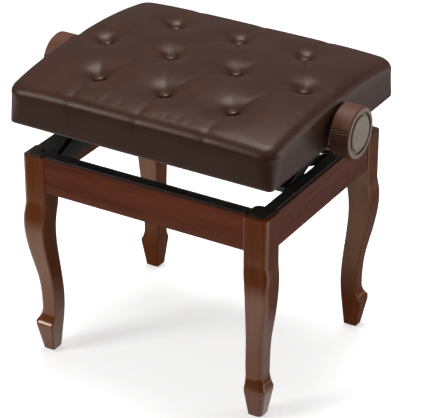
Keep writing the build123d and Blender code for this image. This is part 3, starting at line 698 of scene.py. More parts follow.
@dataclass
class Tufting:
    """Where the seat is buttoned down and how its pleats and creases run."""

    spacing_x: float = 0.1275
    spacing_y: float = 0.120
    middle_count: int = 4
    outer_count: int = 3
    neighbour_spare: float = 1.01
    depth: float = 0.0145
    floor_radius: float = 0.0095
    spread: float = 0.0120
    pleat_depth: float = 0.0030
    pleat_width: float = 0.0042
    pleat_rounding: float = 0.0012
    pleat_middle: float = 0.12
    pleat_power: float = 1.5
    edge_pleat_depth: float = 0.0012
    edge_pleat_width: float = 0.0060
    edge_pleat_rounding: float = 0.002
    edge_reach: float = 0.26
    end_reach: float = 0.312
    dimple_loss: float = 0.7
    crease_width: float = 0.0019
    crease_middle: float = 0.45
    # Share of the crease mark, and so of the painted crease shade, on pleats that cross the view.
    view_crossing_crease_and_shade: float = 0.5
    edge_crease_width: float = 0.0016
    edge_crease: float = 0.55
    edge_crease_start: float = 1.2
    edge_crease_fade: float = 2.2

    def row(self, count: int, y: float) -> list[np.ndarray]:
        """Button places of one row along X."""
        return [np.array([(k - (count - 1) / 2) * self.spacing_x, y]) for k in range(count)]

    def buttons(self) -> list[np.ndarray]:
        """All button places in plan."""
        return self.middle() + self.outer()

    def middle(self) -> list[np.ndarray]:
        """The middle row's places."""
        return self.row(self.middle_count, 0.0)

    def outer(self) -> list[np.ndarray]:
        """The front and back rows' places."""
        return self.row(self.outer_count, -self.spacing_y) + self.row(self.outer_count, self.spacing_y)

    def inner_pleats(self) -> list[Pleat]:
        """Folds between neighbouring buttons of different rows."""
        reach = math.hypot(self.spacing_x / 2, self.spacing_y) * self.neighbour_spare
        return [(a, b) for a in self.middle() for b in self.outer() if np.linalg.norm(a - b) < reach]

    def edge_pleats(self) -> list[Pleat]:
        """Folds from the outermost buttons to the edges.

        Returns:
            Each fold's two ends, the button first.
        """
        pleats = [(p, np.array([p[0], math.copysign(self.edge_reach, p[1])])) for p in self.outer()]
        ends = (self.middle()[0], self.middle()[-1])
        return pleats + [(p, np.array([math.copysign(self.end_reach, p[0]), p[1]])) for p in ends]

    @staticmethod
    def along(points: np.ndarray, pleat: Pleat) -> tuple[np.ndarray, np.ndarray]:
        """Distance of points from a pleat and their place along it.

        Args:
            points: places in plan.
            pleat: its two ends.

        Returns:
            Distances, and shares of the way from the first end to the second.
        """
        start, stop = pleat
        way = stop - start
        share = np.clip(((points - start) @ way) / (way @ way), 0.0, 1.0)
        return np.linalg.norm(points - (start + share[:, None] * way), axis=1), share

    def _dimples(self, points: np.ndarray) -> np.ndarray:
        """How far the buttons draw the cover down.

        Args:
            points: places in plan.

        Returns:
            Depth at each place.
        """
        dimple = np.zeros(len(points))
        for place in self.buttons():
            radius = np.linalg.norm(points - place, axis=1)
            beyond = np.clip(radius - self.floor_radius, 0.0, None)
            dimple = np.maximum(dimple, self.depth * np.exp(-beyond / self.spread))
        return dimple

    def sink(self, points: np.ndarray) -> np.ndarray:
        """How far the buttons and pleats draw the cover down.

        Args:
            points: places in plan.

        Returns:
            Depth at each place.
        """
        fold = np.zeros(len(points))
        for pleat in self.inner_pleats():
            distance, share = self.along(points, pleat)
            near_button = np.abs(2 * share - 1) ** self.pleat_power
            size = self.pleat_depth * (self.pleat_middle + (1 - self.pleat_middle) * near_button)
            groove = np.exp(-np.hypot(distance, self.pleat_rounding) / self.pleat_width)
            fold = np.maximum(fold, size * groove)
        for pleat in self.edge_pleats():
            distance, _ = self.along(points, pleat)
            groove = np.exp(-np.hypot(distance, self.edge_pleat_rounding) / self.edge_pleat_width)
            fold = np.maximum(fold, self.edge_pleat_depth * groove)
        dimple = self._dimples(points)
        return dimple + fold * (1 - self.dimple_loss * dimple / self.depth)

    def creases(self, points: np.ndarray) -> np.ndarray:
        """How strongly the cover is creased, sharper where pleats run from back left to front right, along
        the view, where the painted crease shade is darkest.

        Args:
            points: places in plan.

        Returns:
            A mark from 0 to 1 at each place.
        """
        mark = np.zeros(len(points))
        for pleat in self.inner_pleats():
            distance, share = self.along(points, pleat)
            way = pleat[1] - pleat[0]
            # Pleats along the view get the full mark and the darkest painted shade; the others get less.
            sharpness = 1.0 if way[0] * way[1] < 0 else self.view_crossing_crease_and_shade
            near_button = np.abs(2 * share - 1) ** 2
            strength = sharpness * (self.crease_middle + (1 - self.crease_middle) * near_button)
            mark = np.maximum(mark, strength * np.exp(-((distance / self.crease_width) ** 2)))
        for pleat in self.edge_pleats():
            distance, share = self.along(points, pleat)
            strength = self.edge_crease * np.exp(-((distance / self.edge_crease_width) ** 2))
            fade = np.clip(self.edge_crease_start - self.edge_crease_fade * share, 0, 1)
            mark = np.maximum(mark, strength * fade)
        return mark


@dataclass
class ClothFill:
    """A short cloth simulation in which air fills the cover between its buttons."""

    frames: int = 14
    cap: float = 0.0035
    shrink: float = -0.0015
    pressure: float = 4.0
    quality: int = 5
    mass: float = 0.4
    stretch_stiffness: float = 40.0
    shear_stiffness: float = 20.0
    bending_stiffness: float = 16.0
    hold_steps: int = 10
    least_move: float = 1e-9
    group: str = "held"

    def _hold(self, obj: bpy.types.Object, hold: np.ndarray) -> None:
        """Write how firmly the vertices are held, in steps.

        Args:
            obj: the cover.
            hold: 0 free to 1 fixed, for each vertex.
        """
        held = obj.vertex_groups.new(name=self.group)
        for step in range(1, self.hold_steps + 1):
            chosen = np.flatnonzero(np.round(hold * self.hold_steps).astype(int) == step)
            if len(chosen):
                held.add(chosen.tolist(), step / self.hold_steps, "REPLACE")

    def _cloth(self, obj: bpy.types.Object) -> bpy.types.ClothModifier:
        """Make the cover a cloth under pressure, without weight.

        Args:
            obj: the cover.

        Returns:
            Its cloth modifier.
        """
        modifier = obj.modifiers.new("cloth", "CLOTH")
        cloth = modifier.settings
        cloth.quality = self.quality
        cloth.mass = self.mass
        cloth.tension_stiffness = self.stretch_stiffness
        cloth.compression_stiffness = self.stretch_stiffness
        cloth.shear_stiffness = self.shear_stiffness
        cloth.bending_stiffness = self.bending_stiffness
        cloth.use_pressure = True
        cloth.uniform_pressure_force = self.pressure
        cloth.vertex_group_mass = self.group
        cloth.pin_stiffness = 1.0
        cloth.effector_weights.gravity = 0.0
        cloth.shrink_min = self.shrink
        modifier.collision_settings.use_collision = False
        modifier.point_cache.frame_start = 1
        modifier.point_cache.frame_end = self.frames
        return modifier

    def fill(self, obj: bpy.types.Object, hold: np.ndarray) -> None:
        """Run the simulation and keep its shape, with each move held under the cap.

        Args:
            obj: the buttoned cover.
            hold: how firmly each vertex is held.
        """
        self._hold(obj, hold)
        modifier = self._cloth(obj)
        before = vertices(obj)
        for step in range(1, self.frames + 1):
            bpy.context.scene.frame_set(step)
        moved = vertices(obj.evaluated_get(bpy.context.evaluated_depsgraph_get())) - before
        length = np.linalg.norm(moved, axis=1)
        share = np.minimum(1.0, self.cap / np.maximum(length, self.least_move))
        obj.modifiers.remove(modifier)
        obj.vertex_groups.clear()
        bpy.context.scene.frame_set(1)
        obj.data.vertices.foreach_set("co", (before + moved * share[:, None]).ravel())
        obj.data.update()
        LOG.info("cloth moved the cover by up to %.1f mm", length.max() * 1000)


@dataclass(frozen=True)
class Ring:
    """One level of the cover below its crown: how far in, how high, how tilted and how firmly held."""

    inset: float
    height: np.ndarray
    tilt: float
    hold: float


@dataclass
class Skin:
    """The plain cover as it grows from its crown down, ring by ring."""

    points: np.ndarray
    outward: np.ndarray
    hold: np.ndarray
    faces: list[Face]
    edge: np.ndarray

    def add(self, points: np.ndarray, outward: np.ndarray, hold: float) -> None:
        """Add a ring of points below the last one and join it to that.

        Args:
            points: the ring's points.
            outward: outward direction at each.
            hold: how firmly the ring is held, 0 free to 1 fixed.
        """
        count = len(points)
        ring = np.arange(count) + len(self.points)
        self.points = np.vstack((self.points, points))
        self.outward = np.vstack((self.outward, outward))
        self.hold = np.concatenate((self.hold, np.full(count, hold)))
        for k in range(count):
            after = (k + 1) % count
            self.faces.append((self.edge[k], ring[k], ring[after], self.edge[after]))
        self.edge = ring


@dataclass
class SeatCover:
    """The padded, buttoned cover over the seat's crown and sides, in one piece."""

    tufting: Tufting = field(default_factory=Tufting)
    cloth: ClothFill = field(default_factory=ClothFill)
    flare: float = 0.065
    foot_corner: float = 0.010
    shoulder_corner: float = 0.026
    fullness: float = 0.0025
    barrel: float = 0.019
    barrel_power: float = 2.4
    end_drop: float = 0.006
    end_power: float = 5.0
    side_padding: float = 0.004
    roll: float = 0.025
    roll_start: float = 0.25
    roll_hold: float = 0.8
    lip: float = 0.004
    wall: float = 0.018
    cap_above_board: float = 0.005
    cells_x: int = 124
    cells_y: int = 104
    roll_rings: int = 8
    side_rings: int = 11
    lip_rings: int = 3
    wall_rings: int = 3
    puff: float = 0.0015
    puff_ends_at: float = 0.004
    tufting_reach: float = 0.030
    top_tilt: float = 0.3
    underside_tilt: float = -0.01
    crease_hold: float = 0.6
    notch_width: float = 0.052
    notch_rise: float = 0.013
    notch_points: int = 24
    nodes: tuple[str, ...] = (
        "seat_cushion",
        "seat_side_front",
        "seat_side_back",
        "seat_side_left",
        "seat_side_right",
    )
    bottom: float = field(init=False)
    board: float = field(init=False)
    top: float = field(init=False)
    half_x: float = field(init=False)
    half_y: float = field(init=False)
    spindle_z: float = field(init=False)

    def __post_init__(self) -> None:
        """Take the seat's place and size from the solids."""
        side_low, side_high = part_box("seat_side_front")
        _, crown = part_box("seat_cushion")
        board_low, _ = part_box("seat_board")
        spindle_low, spindle_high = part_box("spindle")
        self.bottom = side_low[2]
        self.board = board_low[2]
        self.top = crown[2]
        grown = self.flare * (side_high[2] - self.bottom)
        self.half_x = side_high[0] - grown + self.side_padding
        self.half_y = -side_low[1] - grown + self.side_padding
        self.spindle_z = (spindle_low[2] + spindle_high[2]) / 2

    def crown(self, points: np.ndarray) -> np.ndarray:
        """Height of the unbuttoned crown, a barrel that drops a little at its ends.

        Args:
            points: places in plan.

        Returns:
            Height at each place.
        """
        share = np.clip(np.abs(points) / np.array([self.half_x, self.half_y]), 0.0, 1.0)
        barrel = self.barrel * share[:, 1] ** self.barrel_power
        return self.top + self.fullness - barrel - self.end_drop * share[:, 0] ** self.end_power

    def _below(self, points: np.ndarray) -> np.ndarray:
        """How far points lie below the unbuttoned crown."""
        return np.clip(self.crown(points[:, :2]) - points[:, 2], 0.0, None)

    @staticmethod
    def _side(half: float, radius: float, count: int) -> tuple[np.ndarray, np.ndarray, np.ndarray]:
        """One side of the rounded outline, from corner middle to corner middle.

        Args:
            half: half the side's full length.
            radius: radius of the corners.
            count: steps along it.

        Returns:
            Place along the side, inset from its face and turn of its normal, at each step but the last.
        """
        straight = half - radius
        total = 2 * straight + radius * QUARTER_TURN
        run = (np.arange(count) / count - 0.5) * total
        turn = np.sign(run) * np.clip(np.abs(run) - straight, 0.0, None) / radius
        along = np.clip(run, -straight, straight) + radius * np.sin(turn)
        return along, radius * (1 - np.cos(turn)), turn

    def outline(self, radius: float) -> tuple[np.ndarray, np.ndarray]:
        """The seat's outline, without its flare, counter-clockwise from the front left corner.

        Args:
            radius: radius of the corners.

        Returns:
            Points in plan and outward normals.
        """
        points, normals = [], []
        long_side = (self.half_x, self.half_y, self.cells_x)
        short_side = (self.half_y, self.half_x, self.cells_y)
        for quarter, (half, face, count) in enumerate((long_side, short_side) * 2):
            along, inset, turn = self._side(half, radius, count)
            spin = quarter * QUARTER_TURN
            rotate = np.array([[math.cos(spin), -math.sin(spin)], [math.sin(spin), math.cos(spin)]])
            points.append(np.column_stack((along, inset - face)) @ rotate.T)
            normals.append(np.column_stack((np.sin(turn), -np.cos(turn))) @ rotate.T)
        return np.vstack(points), np.vstack(normals)

    def _grid(self, edge: np.ndarray) -> np.ndarray:
        """Fill the outline's inside with a grid that follows it.

        Args:
            edge: the outline's points in plan.

        Returns:
            Grid points in plan, indexed by column and row.
        """
        nx, ny = self.cells_x, self.cells_y
        front = edge[: nx + 1]
        right = edge[nx : nx + ny + 1]
        back = edge[nx + ny : 2 * nx + ny + 1][::-1]
        left = np.vstack((edge[2 * nx + ny :], edge[:1]))[::-1]
        u = np.linspace(0, 1, nx + 1)[:, None, None]
        v = np.linspace(0, 1, ny + 1)[None, :, None]
        ruled = (1 - v) * front[:, None] + v * back[:, None] + (1 - u) * left[None] + u * right[None]
        corners = (
            (1 - u) * (1 - v) * front[0]
            + u * (1 - v) * front[-1]
            + (1 - u) * v * back[0]
            + u * v * back[-1]
        )
        return ruled - corners

    def _loop(self) -> list[tuple[int, int]]:
        """Find the grid's edge points, in the outline's order.

        Returns:
            Column and row of each.
        """
        nx, ny = self.cells_x, self.cells_y
        loop = [(i, 0) for i in range(nx)] + [(nx, j) for j in range(ny)]
        return loop + [(i, ny) for i in range(nx, 0, -1)] + [(0, j) for j in range(ny, 0, -1)]

    def _rings(self, edge: np.ndarray) -> list[Ring]:
        """The levels of the rolled edge, the side, the lip under it and the wall inside it.

        Args:
            edge: height of the crown's edge points.

        Returns:
            The levels, from the crown down and then up inside.
        """
        level = np.ones(len(edge))
        begin = math.cos(self.roll_start)
        rings = []
        for k in range(1, self.roll_rings + 1):
            tilt = self.roll_start + k / self.roll_rings * (QUARTER_TURN - self.roll_start)
            drop = self.roll * (begin - math.cos(tilt))
            rings.append(Ring(self.roll * (1 - math.sin(tilt)), edge - drop, tilt, self.roll_hold))
        side_top = edge - self.roll * begin
        side_foot = self.bottom + self.lip
        for k in range(1, self.side_rings + 1):
            share = k / self.side_rings
            hold = self.roll_hold + (1 - self.roll_hold) * share
            rings.append(Ring(0.0, side_top + (side_foot - side_top) * share, QUARTER_TURN, hold))
        for k in range(1, self.lip_rings + 1):
            tilt = QUARTER_TURN * (1 + k / self.lip_rings)
            height = side_foot + self.lip * math.cos(tilt)
            rings.append(Ring(self.lip * (1 - math.sin(tilt)), height * level, tilt, 1.0))
        for k in range(self.wall_rings + 1):
            rise = (self.board + self.cap_above_board - self.bottom) * k / self.wall_rings
            height = self.bottom + rise
            rings.append(Ring(self.wall + self.flare * rise, height * level, math.pi, 1.0))
        return rings

    def _set_ring(self, ring: Ring, shoulder_height: np.ndarray) -> tuple[np.ndarray, np.ndarray]:
        """Lay one level out, its corners rounder the higher it is.

        Args:
            ring: the level.
            shoulder_height: height of the roundest corners, at each point.

        Returns:
            Points and outward directions.
        """
        foot, foot_normal = self.outline(self.foot_corner)
        shoulder, shoulder_normal = self.outline(self.shoulder_corner)
        above = ring.height - self.bottom
        rise = np.clip(above / (shoulder_height - self.bottom), 0.0, 1.0)[:, None]
        edge = foot + (shoulder - foot) * rise
        normal = foot_normal + (shoulder_normal - foot_normal) * rise
        normal = normal / np.linalg.norm(normal, axis=1, keepdims=True)
        grown = self.flare * above - ring.inset
        points = np.column_stack((edge + normal * grown[:, None], ring.height))
        upward = np.full(len(points), math.cos(ring.tilt))
        return points, np.column_stack((normal * math.sin(ring.tilt), upward))

    def _skin(self) -> Skin:
        """Lay out the unbuttoned cover.

        Returns:
            Its points, directions, hold and faces.
        """
        shoulder, normal = self.outline(self.shoulder_corner)
        lean = self.flare * (self.top - self.roll - self.bottom)
        roll_inset = self.roll * (1 - math.sin(self.roll_start))
        plan = self._grid(shoulder + normal * (lean - roll_inset)).reshape(-1, 2)
        height = self.crown(plan)
        nx, ny = self.cells_x, self.cells_y
        number = np.arange(len(plan)).reshape(nx + 1, ny + 1)
        faces = [
            (number[i, j], number[i + 1, j], number[i + 1, j + 1], number[i, j + 1])
            for i in range(nx)
            for j in range(ny)
        ]
        upward = np.tile([0.0, 0.0, 1.0], (len(plan), 1))
        edge = np.array([number[place] for place in self._loop()])
        skin = Skin(np.column_stack((plan, height)), upward, np.zeros(len(plan)), faces, edge)
        for ring in self._rings(height[edge]):
            skin.add(*self._set_ring(ring, height[edge] - self.roll), ring.hold)
        return skin

    def _button_down(self, skin: Skin) -> np.ndarray:
        """Draw the cover in at the buttons and pleats, and puff it between them.

        Args:
            skin: the plain cover.

        Returns:
            The buttoned cover's vertices.
        """
        upward = skin.outward[:, 2]
        near_top = np.exp(-((self._below(skin.points) / self.tufting_reach) ** 2))
        fade = np.where(upward > self.underside_tilt, near_top, 0.0)
        sink = self.tufting.sink(skin.points[:, :2])
        swell = self.puff * (1 - np.clip(sink / self.puff_ends_at, 0.0, 1.0)) * (upward > self.top_tilt)
        return skin.points + skin.outward * ((swell - sink) * fade)[:, None]

    def _hold(self, skin: Skin) -> np.ndarray:
        """How firmly the cloth is held: fixed under the buttons, firm along the creases.

        Args:
            skin: the plain cover.

        Returns:
            0 free to 1 fixed, for each vertex.
        """
        plan = skin.points[:, :2]
        on_top = skin.outward[:, 2] > self.top_tilt
        hold = skin.hold
        for place in self.tufting.buttons():
            radius = np.linalg.norm(plan - place, axis=1)
            hold = np.where((radius < self.tufting.floor_radius) & on_top, 1.0, hold)
        return np.where(on_top, np.maximum(hold, self.crease_hold * self.tufting.creases(plan)), hold)

    @staticmethod
    def _close(obj: bpy.types.Object) -> None:
        """Close the cover's inside with one face, hidden in the board.

        Args:
            obj: the cover.
        """
        work = bmesh.new()
        work.from_mesh(obj.data)
        bmesh.ops.edgeloop_fill(work, edges=[edge for edge in work.edges if edge.is_boundary])
        bmesh.ops.recalc_face_normals(work, faces=work.faces)
        work.to_mesh(obj.data)
        work.free()

    def _mark_creases(self, obj: bpy.types.Object) -> None:
        """Write the creases of the pleats on the finished mesh, as the mark that also paints shade into the
        vinyl there.

        Args:
            obj: the cover.
        """
        points = vertices(obj)
        creased = self.tufting.creases(points[:, :2]) * (self._below(points) < self.tufting_reach)
        mark = obj.data.attributes.new(CREASE_MARK, "FLOAT", "POINT")
        mark.data.foreach_set("value", creased.astype(np.float32))

    def _cut_notches(self, obj: bpy.types.Object) -> None:
        """Cut the arch for the spindle into both ends.

        Args:
            obj: the cover.
        """
        half = self.notch_width / 2
        flat = half - self.notch_rise
        arch = []
        for turn in np.linspace(0, math.pi, self.notch_points):
            across = math.copysign(flat, math.cos(turn)) + self.notch_rise * math.cos(turn)
            arch.append((across, self.spindle_z + self.notch_rise * math.sin(turn)))
        arch += [(-half, self.bottom - self.wall), (half, self.bottom - self.wall)]
        size = len(arch)
        faces = [tuple(range(size)), tuple(range(2 * size - 1, size - 1, -1))]
        faces += [(k, k + size, (k + 1) % size + size, (k + 1) % size) for k in range(size)]
        for sign in (-1, 1):
            ends = (sign * (self.half_x - 2 * self.wall), sign * (self.half_x + 2 * self.wall))
            cut_away(obj, np.array([(x, y, z) for x in ends for y, z in arch]), faces)

    def build(self) -> bpy.types.Object:
        """Make the cover's mesh.

        Returns:
            The cover, in place.
        """
        skin = self._skin()
        obj = new_object("seat_cover", self._button_down(skin), skin.faces)
        self.cloth.fill(obj, self._hold(skin))
        smooth = obj.modifiers.new("smooth", "SUBSURF")
        smooth.levels = smooth.render_levels = 1
        bake_modifiers(obj)
        self._close(obj)
        self._mark_creases(obj)
        self._cut_notches(obj)
        return obj

    def dress(self, obj: bpy.types.Object, vinyl: bpy.types.Material) -> None:
        """Cover it in vinyl and stand it in for the solids.

        Args:
            obj: the cover.
            vinyl: its finish.
        """
        dress(obj, vinyl)
        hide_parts(*self.nodes)
        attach(obj, "seat")


@dataclass
class CoverButtons:
    """Ten domed buttons covered in a vinyl like the seat's, painted lighter to stand in for the light on
    their tops.
    """

    cover: SeatCover
    radius: float = 0.0098
    foot_radius: float = 0.00784
    foot_drop: float = 0.001
    foot_edge: float = 0.0004
    rim: float = 0.00154
    dome: float = 0.0042
    dome_steps: int = 7
    proud: float = 0.0015
    sides: int = 28

    def build(self) -> bpy.types.Object:
        """Make all the buttons as one object.

        Returns:
            The buttons, in their dimples.
        """
        foot = [(self.foot_radius, -self.foot_drop), (self.radius, self.foot_edge)]
        profile = foot + [(self.radius, self.rim)]
        profile += domed(self.radius, self.rim, self.dome, self.dome_steps)
        tufting = self.cover.tufting
        plan = np.array(tufting.buttons())
        places = np.column_stack((plan, self.cover.crown(plan) - tufting.depth + self.proud))
        return new_object("cover_buttons", *copies(revolved(profile, self.sides), places))

    def dress(self, obj: bpy.types.Object, vinyl: bpy.types.Material) -> None:
        """Cover them and stand them in for the solids.

        Args:
            obj: the buttons.
            vinyl: their finish.
        """
        dress(obj, vinyl)
        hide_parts("tuft_buttons")
        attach(obj, "seat")


@dataclass
class ThreadedSpindle:
    """The lengthwise spindle with its right-hand and left-hand screw threads."""

    lead: float = 0.005
    thread_depth: float = 0.0011
    thread_from: float = 0.070
    thread_to: float = 0.186
    groove_height: float = 1.5
    groove_slope: float = 3.0
    steps_per_turn: int = 8
    sides: int = 24
    half_length: float = field(init=False)
    radius: float = field(init=False)
    axis_z: float = field(init=False)

    def __post_init__(self) -> None:
        """Take the spindle's place and size from its solid."""
        low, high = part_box("spindle")
        self.half_length = high[0]
        self.radius = (high[2] - low[2]) / 2
        self.axis_z = (high[2] + low[2]) / 2

    def _groove(self, phase: np.ndarray) -> np.ndarray:
        """Depth of the thread's groove over one turn, as a share of the full depth."""
        from_middle = np.abs(2.0 * (phase % 1.0) - 1.0)
        return np.clip(self.groove_height - from_middle * self.groove_slope, 0.0, 1.0)

    def build(self) -> bpy.types.Object:
        """Make the spindle, its threads cut to opposite hands.

        Returns:
            The spindle, in place.
        """
        right = np.arange(self.thread_from, self.thread_to, self.lead / self.steps_per_turn)
        along = np.concatenate(([-self.half_length], -right[::-1], right, [self.half_length]))
        turn = np.linspace(0.0, FULL_TURN, self.sides, endpoint=False)
        x, angle = np.meshgrid(along, turn, indexing="ij")
        inside = np.minimum(np.abs(x) - self.thread_from, self.thread_to - np.abs(x))
        fade = np.clip(inside / self.lead, 0.0, 1.0)
        groove = self._groove(np.abs(x) / self.lead - angle / FULL_TURN) * fade
        radius = self.radius - self.thread_depth * groove
        rings = np.stack((x, radius * np.cos(angle), self.axis_z + radius * np.sin(angle)), axis=-1)
        points = rings.reshape(-1, 3)
        faces = tube_faces(len(along), self.sides)
        faces.append(tuple(reversed(range(self.sides))))
        faces.append(tuple(range(len(points) - self.sides, len(points))))
        return new_object("threaded_spindle", points, faces)

    def dress(self, obj: bpy.types.Object, zinc: bpy.types.Material) -> None:
        """Plate it and stand it in for the plain solid.

        Args:
            obj: the spindle.
            zinc: its finish.
        """
        dress(obj, zinc)
        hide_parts("spindle")
        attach(obj, "spindle")


@dataclass
class CrossHeadScrews:
    """Pan-head screws with a cross recess, in place of one node's plain ones."""

    node: str
    body: str
    head_up: bool
    head_radius: float = 0.004
    head_height: float = 0.0025
    head_rim: float = 0.001125
    dome_steps: int = 5
    shank_radius: float = 0.002
    tip_radius: float = 0.0004
    tip_share: float = 0.1
    slot_width: float = 0.0011
    slot_reach: float = 0.0026
    slot_depth: float = 0.0014
    sides: int = 20

    def _cut_slot(self, screw: bpy.types.Object, half_x: float, half_y: float) -> None:
        """Cut one slot of the cross into the head.

        Args:
            screw: the screw.
            half_x: half the slot's size along X.
            half_y: half the slot's size along Y.
        """
        corners = ((-half_x, -half_y), (half_x, -half_y), (half_x, half_y), (-half_x, half_y))
        heights = (self.head_height - self.slot_depth, 2 * self.head_height)
        points = np.array([(x, y, z) for z in heights for x, y in corners])
        faces = [(0, 3, 2, 1), (4, 5, 6, 7), (0, 1, 5, 4), (1, 2, 6, 5), (2, 3, 7, 6), (3, 0, 4, 7)]
        cut_away(screw, points, faces)

    def _one(self, length: float) -> Mesh:
        """One screw with its head's underside at the origin and its point downwards.

        Args:
            length: of the shank.

        Returns:
            Vertices and faces.
        """
        profile = [
            (self.tip_radius, -length),
            (self.shank_radius, -length * (1 - self.tip_share)),
            (self.shank_radius, 0.0),
            (self.head_radius, 0.0),
            (self.head_radius, self.head_rim),
        ]
        profile += domed(self.head_radius, self.head_rim, self.head_height - self.head_rim, self.dome_steps)
        screw = new_object("screw_blank", *revolved(profile, self.sides))
        self._cut_slot(screw, self.slot_reach, self.slot_width / 2)
        self._cut_slot(screw, self.slot_width / 2, self.slot_reach)
        points = vertices(screw)
        faces = [tuple(face.vertices) for face in screw.data.polygons]
        bpy.data.objects.remove(screw)
        return points, faces

    def build(self) -> bpy.types.Object:
        """Set a screw at the place of each solid one.

        Returns:
            The screws, as one object.
        """
        solids = islands(node(self.node))
        low, high = solids[0]
        points, faces = self._one(high[2] - low[2] - self.head_height)
        if not self.head_up:
            points = points * np.array([1.0, -1.0, -1.0])
        places = []
        for low, high in solids:
            seat = high[2] - self.head_height if self.head_up else low[2] + self.head_height
            places.append(((low[0] + high[0]) / 2, (low[1] + high[1]) / 2, seat))
        obj = new_object(f"cross_head_{self.node}", *copies((points, faces), places))
        obj.data.polygons.foreach_set("use_smooth", [False] * len(obj.data.polygons))
        return obj

    def dress(self, obj: bpy.types.Object, finish: bpy.types.Material) -> None:
        """Finish them and stand them in for the solids.

        Args:
            obj: the screws.
            finish: their finish.
        """
        dress(obj, finish)
        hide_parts(self.node)
        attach(obj, self.body)


@dataclass
class Knobs:
    """The two hand knobs, their caps, the collars behind them and the bushes that they turn in."""

    ends: tuple[str, ...] = ("left", "right")

    def dress(self, plastic: bpy.types.Material, cap: bpy.types.Material,
              nylon: bpy.types.Material) -> None:
        """Finish the moulded pieces and the smooth caps in their faces.

        Args:
            plastic: finish of knobs and collars.
            cap: finish of the caps, pale as a painted reflection.
            nylon: finish of the bushes.
        """
        for end in self.ends:
            dress(node(f"{end}_knob"), plastic)
            dress(node(f"{end}_knob_cap"), cap)
        dress(node("spindle_collars"), plastic)
        dress(node("spindle_bushes"), nylon)


@dataclass
class Woodwork:
    """Legs, rails, braces and glides of the frame, and the board in the seat."""

    rail_edge: float = 0.0012
    brace_edge: float = 0.0008

    def dress(self, lacquer: dict[Grain, bpy.types.Material], bare: bpy.types.Material,
              nylon: bpy.types.Material) -> None:
        """Finish each wooden piece along its own grain.

        Args:
            lacquer: the lacquered finish for each run of the grain.
            bare: finish of the braces and the seat's board.
            nylon: finish of the glides.
        """
        for face in ("front", "back"):
            self._dress_rail(face, lacquer[Grain.ALONG_X])
            for end in ("left", "right"):
                dress(node(f"{face}_{end}_leg"), lacquer[Grain.ALONG_Z])
                dress(node(f"{face}_{end}_brace"), bare)
                ease_edges(node(f"{face}_{end}_brace"), self.brace_edge)
        for end in ("left", "right"):
            self._dress_rail(end, lacquer[Grain.ALONG_Y])
        dress(node("floor_glides"), nylon)
        dress(node("seat_board"), bare)

    def _dress_rail(self, side: str, lacquer: bpy.types.Material) -> None:
        """Lacquer the rail of one side and ease its edges."""
        dress(node(f"{side}_rail"), lacquer)
        ease_edges(node(f"{side}_rail"), self.rail_edge)


@dataclass
class LiftSteel:
    """Folded steel, bars, pins and nuts of the lift."""

    edge: float = 0.0005
    painted: tuple[str, ...] = (
        "lower_angle_front", "lower_angle_back", "lower_angle_left", "lower_angle_right",
        "front_left_ear", "front_right_ear", "back_left_ear", "back_right_ear",
        "upper_angle_left", "upper_angle_right", "upper_tie_front", "upper_tie_back",
        "lower_beam", "guide_a_bar_left", "guide_a_bar_right", "guide_b_bar_left", "guide_b_bar_right",
        "lift_strut_a", "lift_strut_b",
    )
    blackened: tuple[str, ...] = (
        "guide_a_shaft", "guide_b_shaft", "guide_a_pivots", "guide_b_pivots", "guide_crossing_pins",
    )
    plated: tuple[str, ...] = ("leg_bolts", "leg_nuts", "strut_foot_pins", "spindle_nut_a", "spindle_nut_b")

    def dress(self, paint: bpy.types.Material, zinc: bpy.types.Material) -> None:
        """Paint or plate each piece.

        Args:
            paint: black finish of the folded steel, bars and guide pins.
            zinc: finish of the plated pieces.
        """
        for name in self.painted:
            dress(node(name), paint)
            ease_edges(node(name), self.edge)
        for name in self.blackened:
            dress(node(name), paint)
        for name in self.plated:
            dress(node(name), zinc)


@dataclass(frozen=True)
class SoftLight:
    """One square soft light: where it hangs, its side and its power in watts."""

    name: str
    place: tuple[float, float, float]
    size: float
    power: float

    def hang(self, aim: Sequence[float]) -> None:
        """Hang it, turned to a point.

        Args:
            aim: the point.
        """
        data = bpy.data.lights.new(self.name, "AREA")
        data.shape = "SQUARE"
        data.size = self.size
        data.energy = self.power
        obj = bpy.data.objects.new(self.name, data)
        bpy.context.scene.collection.objects.link(obj)
        obj.location = self.place
        obj.rotation_euler = (Vector(aim) - Vector(self.place)).to_track_quat("-Z", "Y").to_euler()


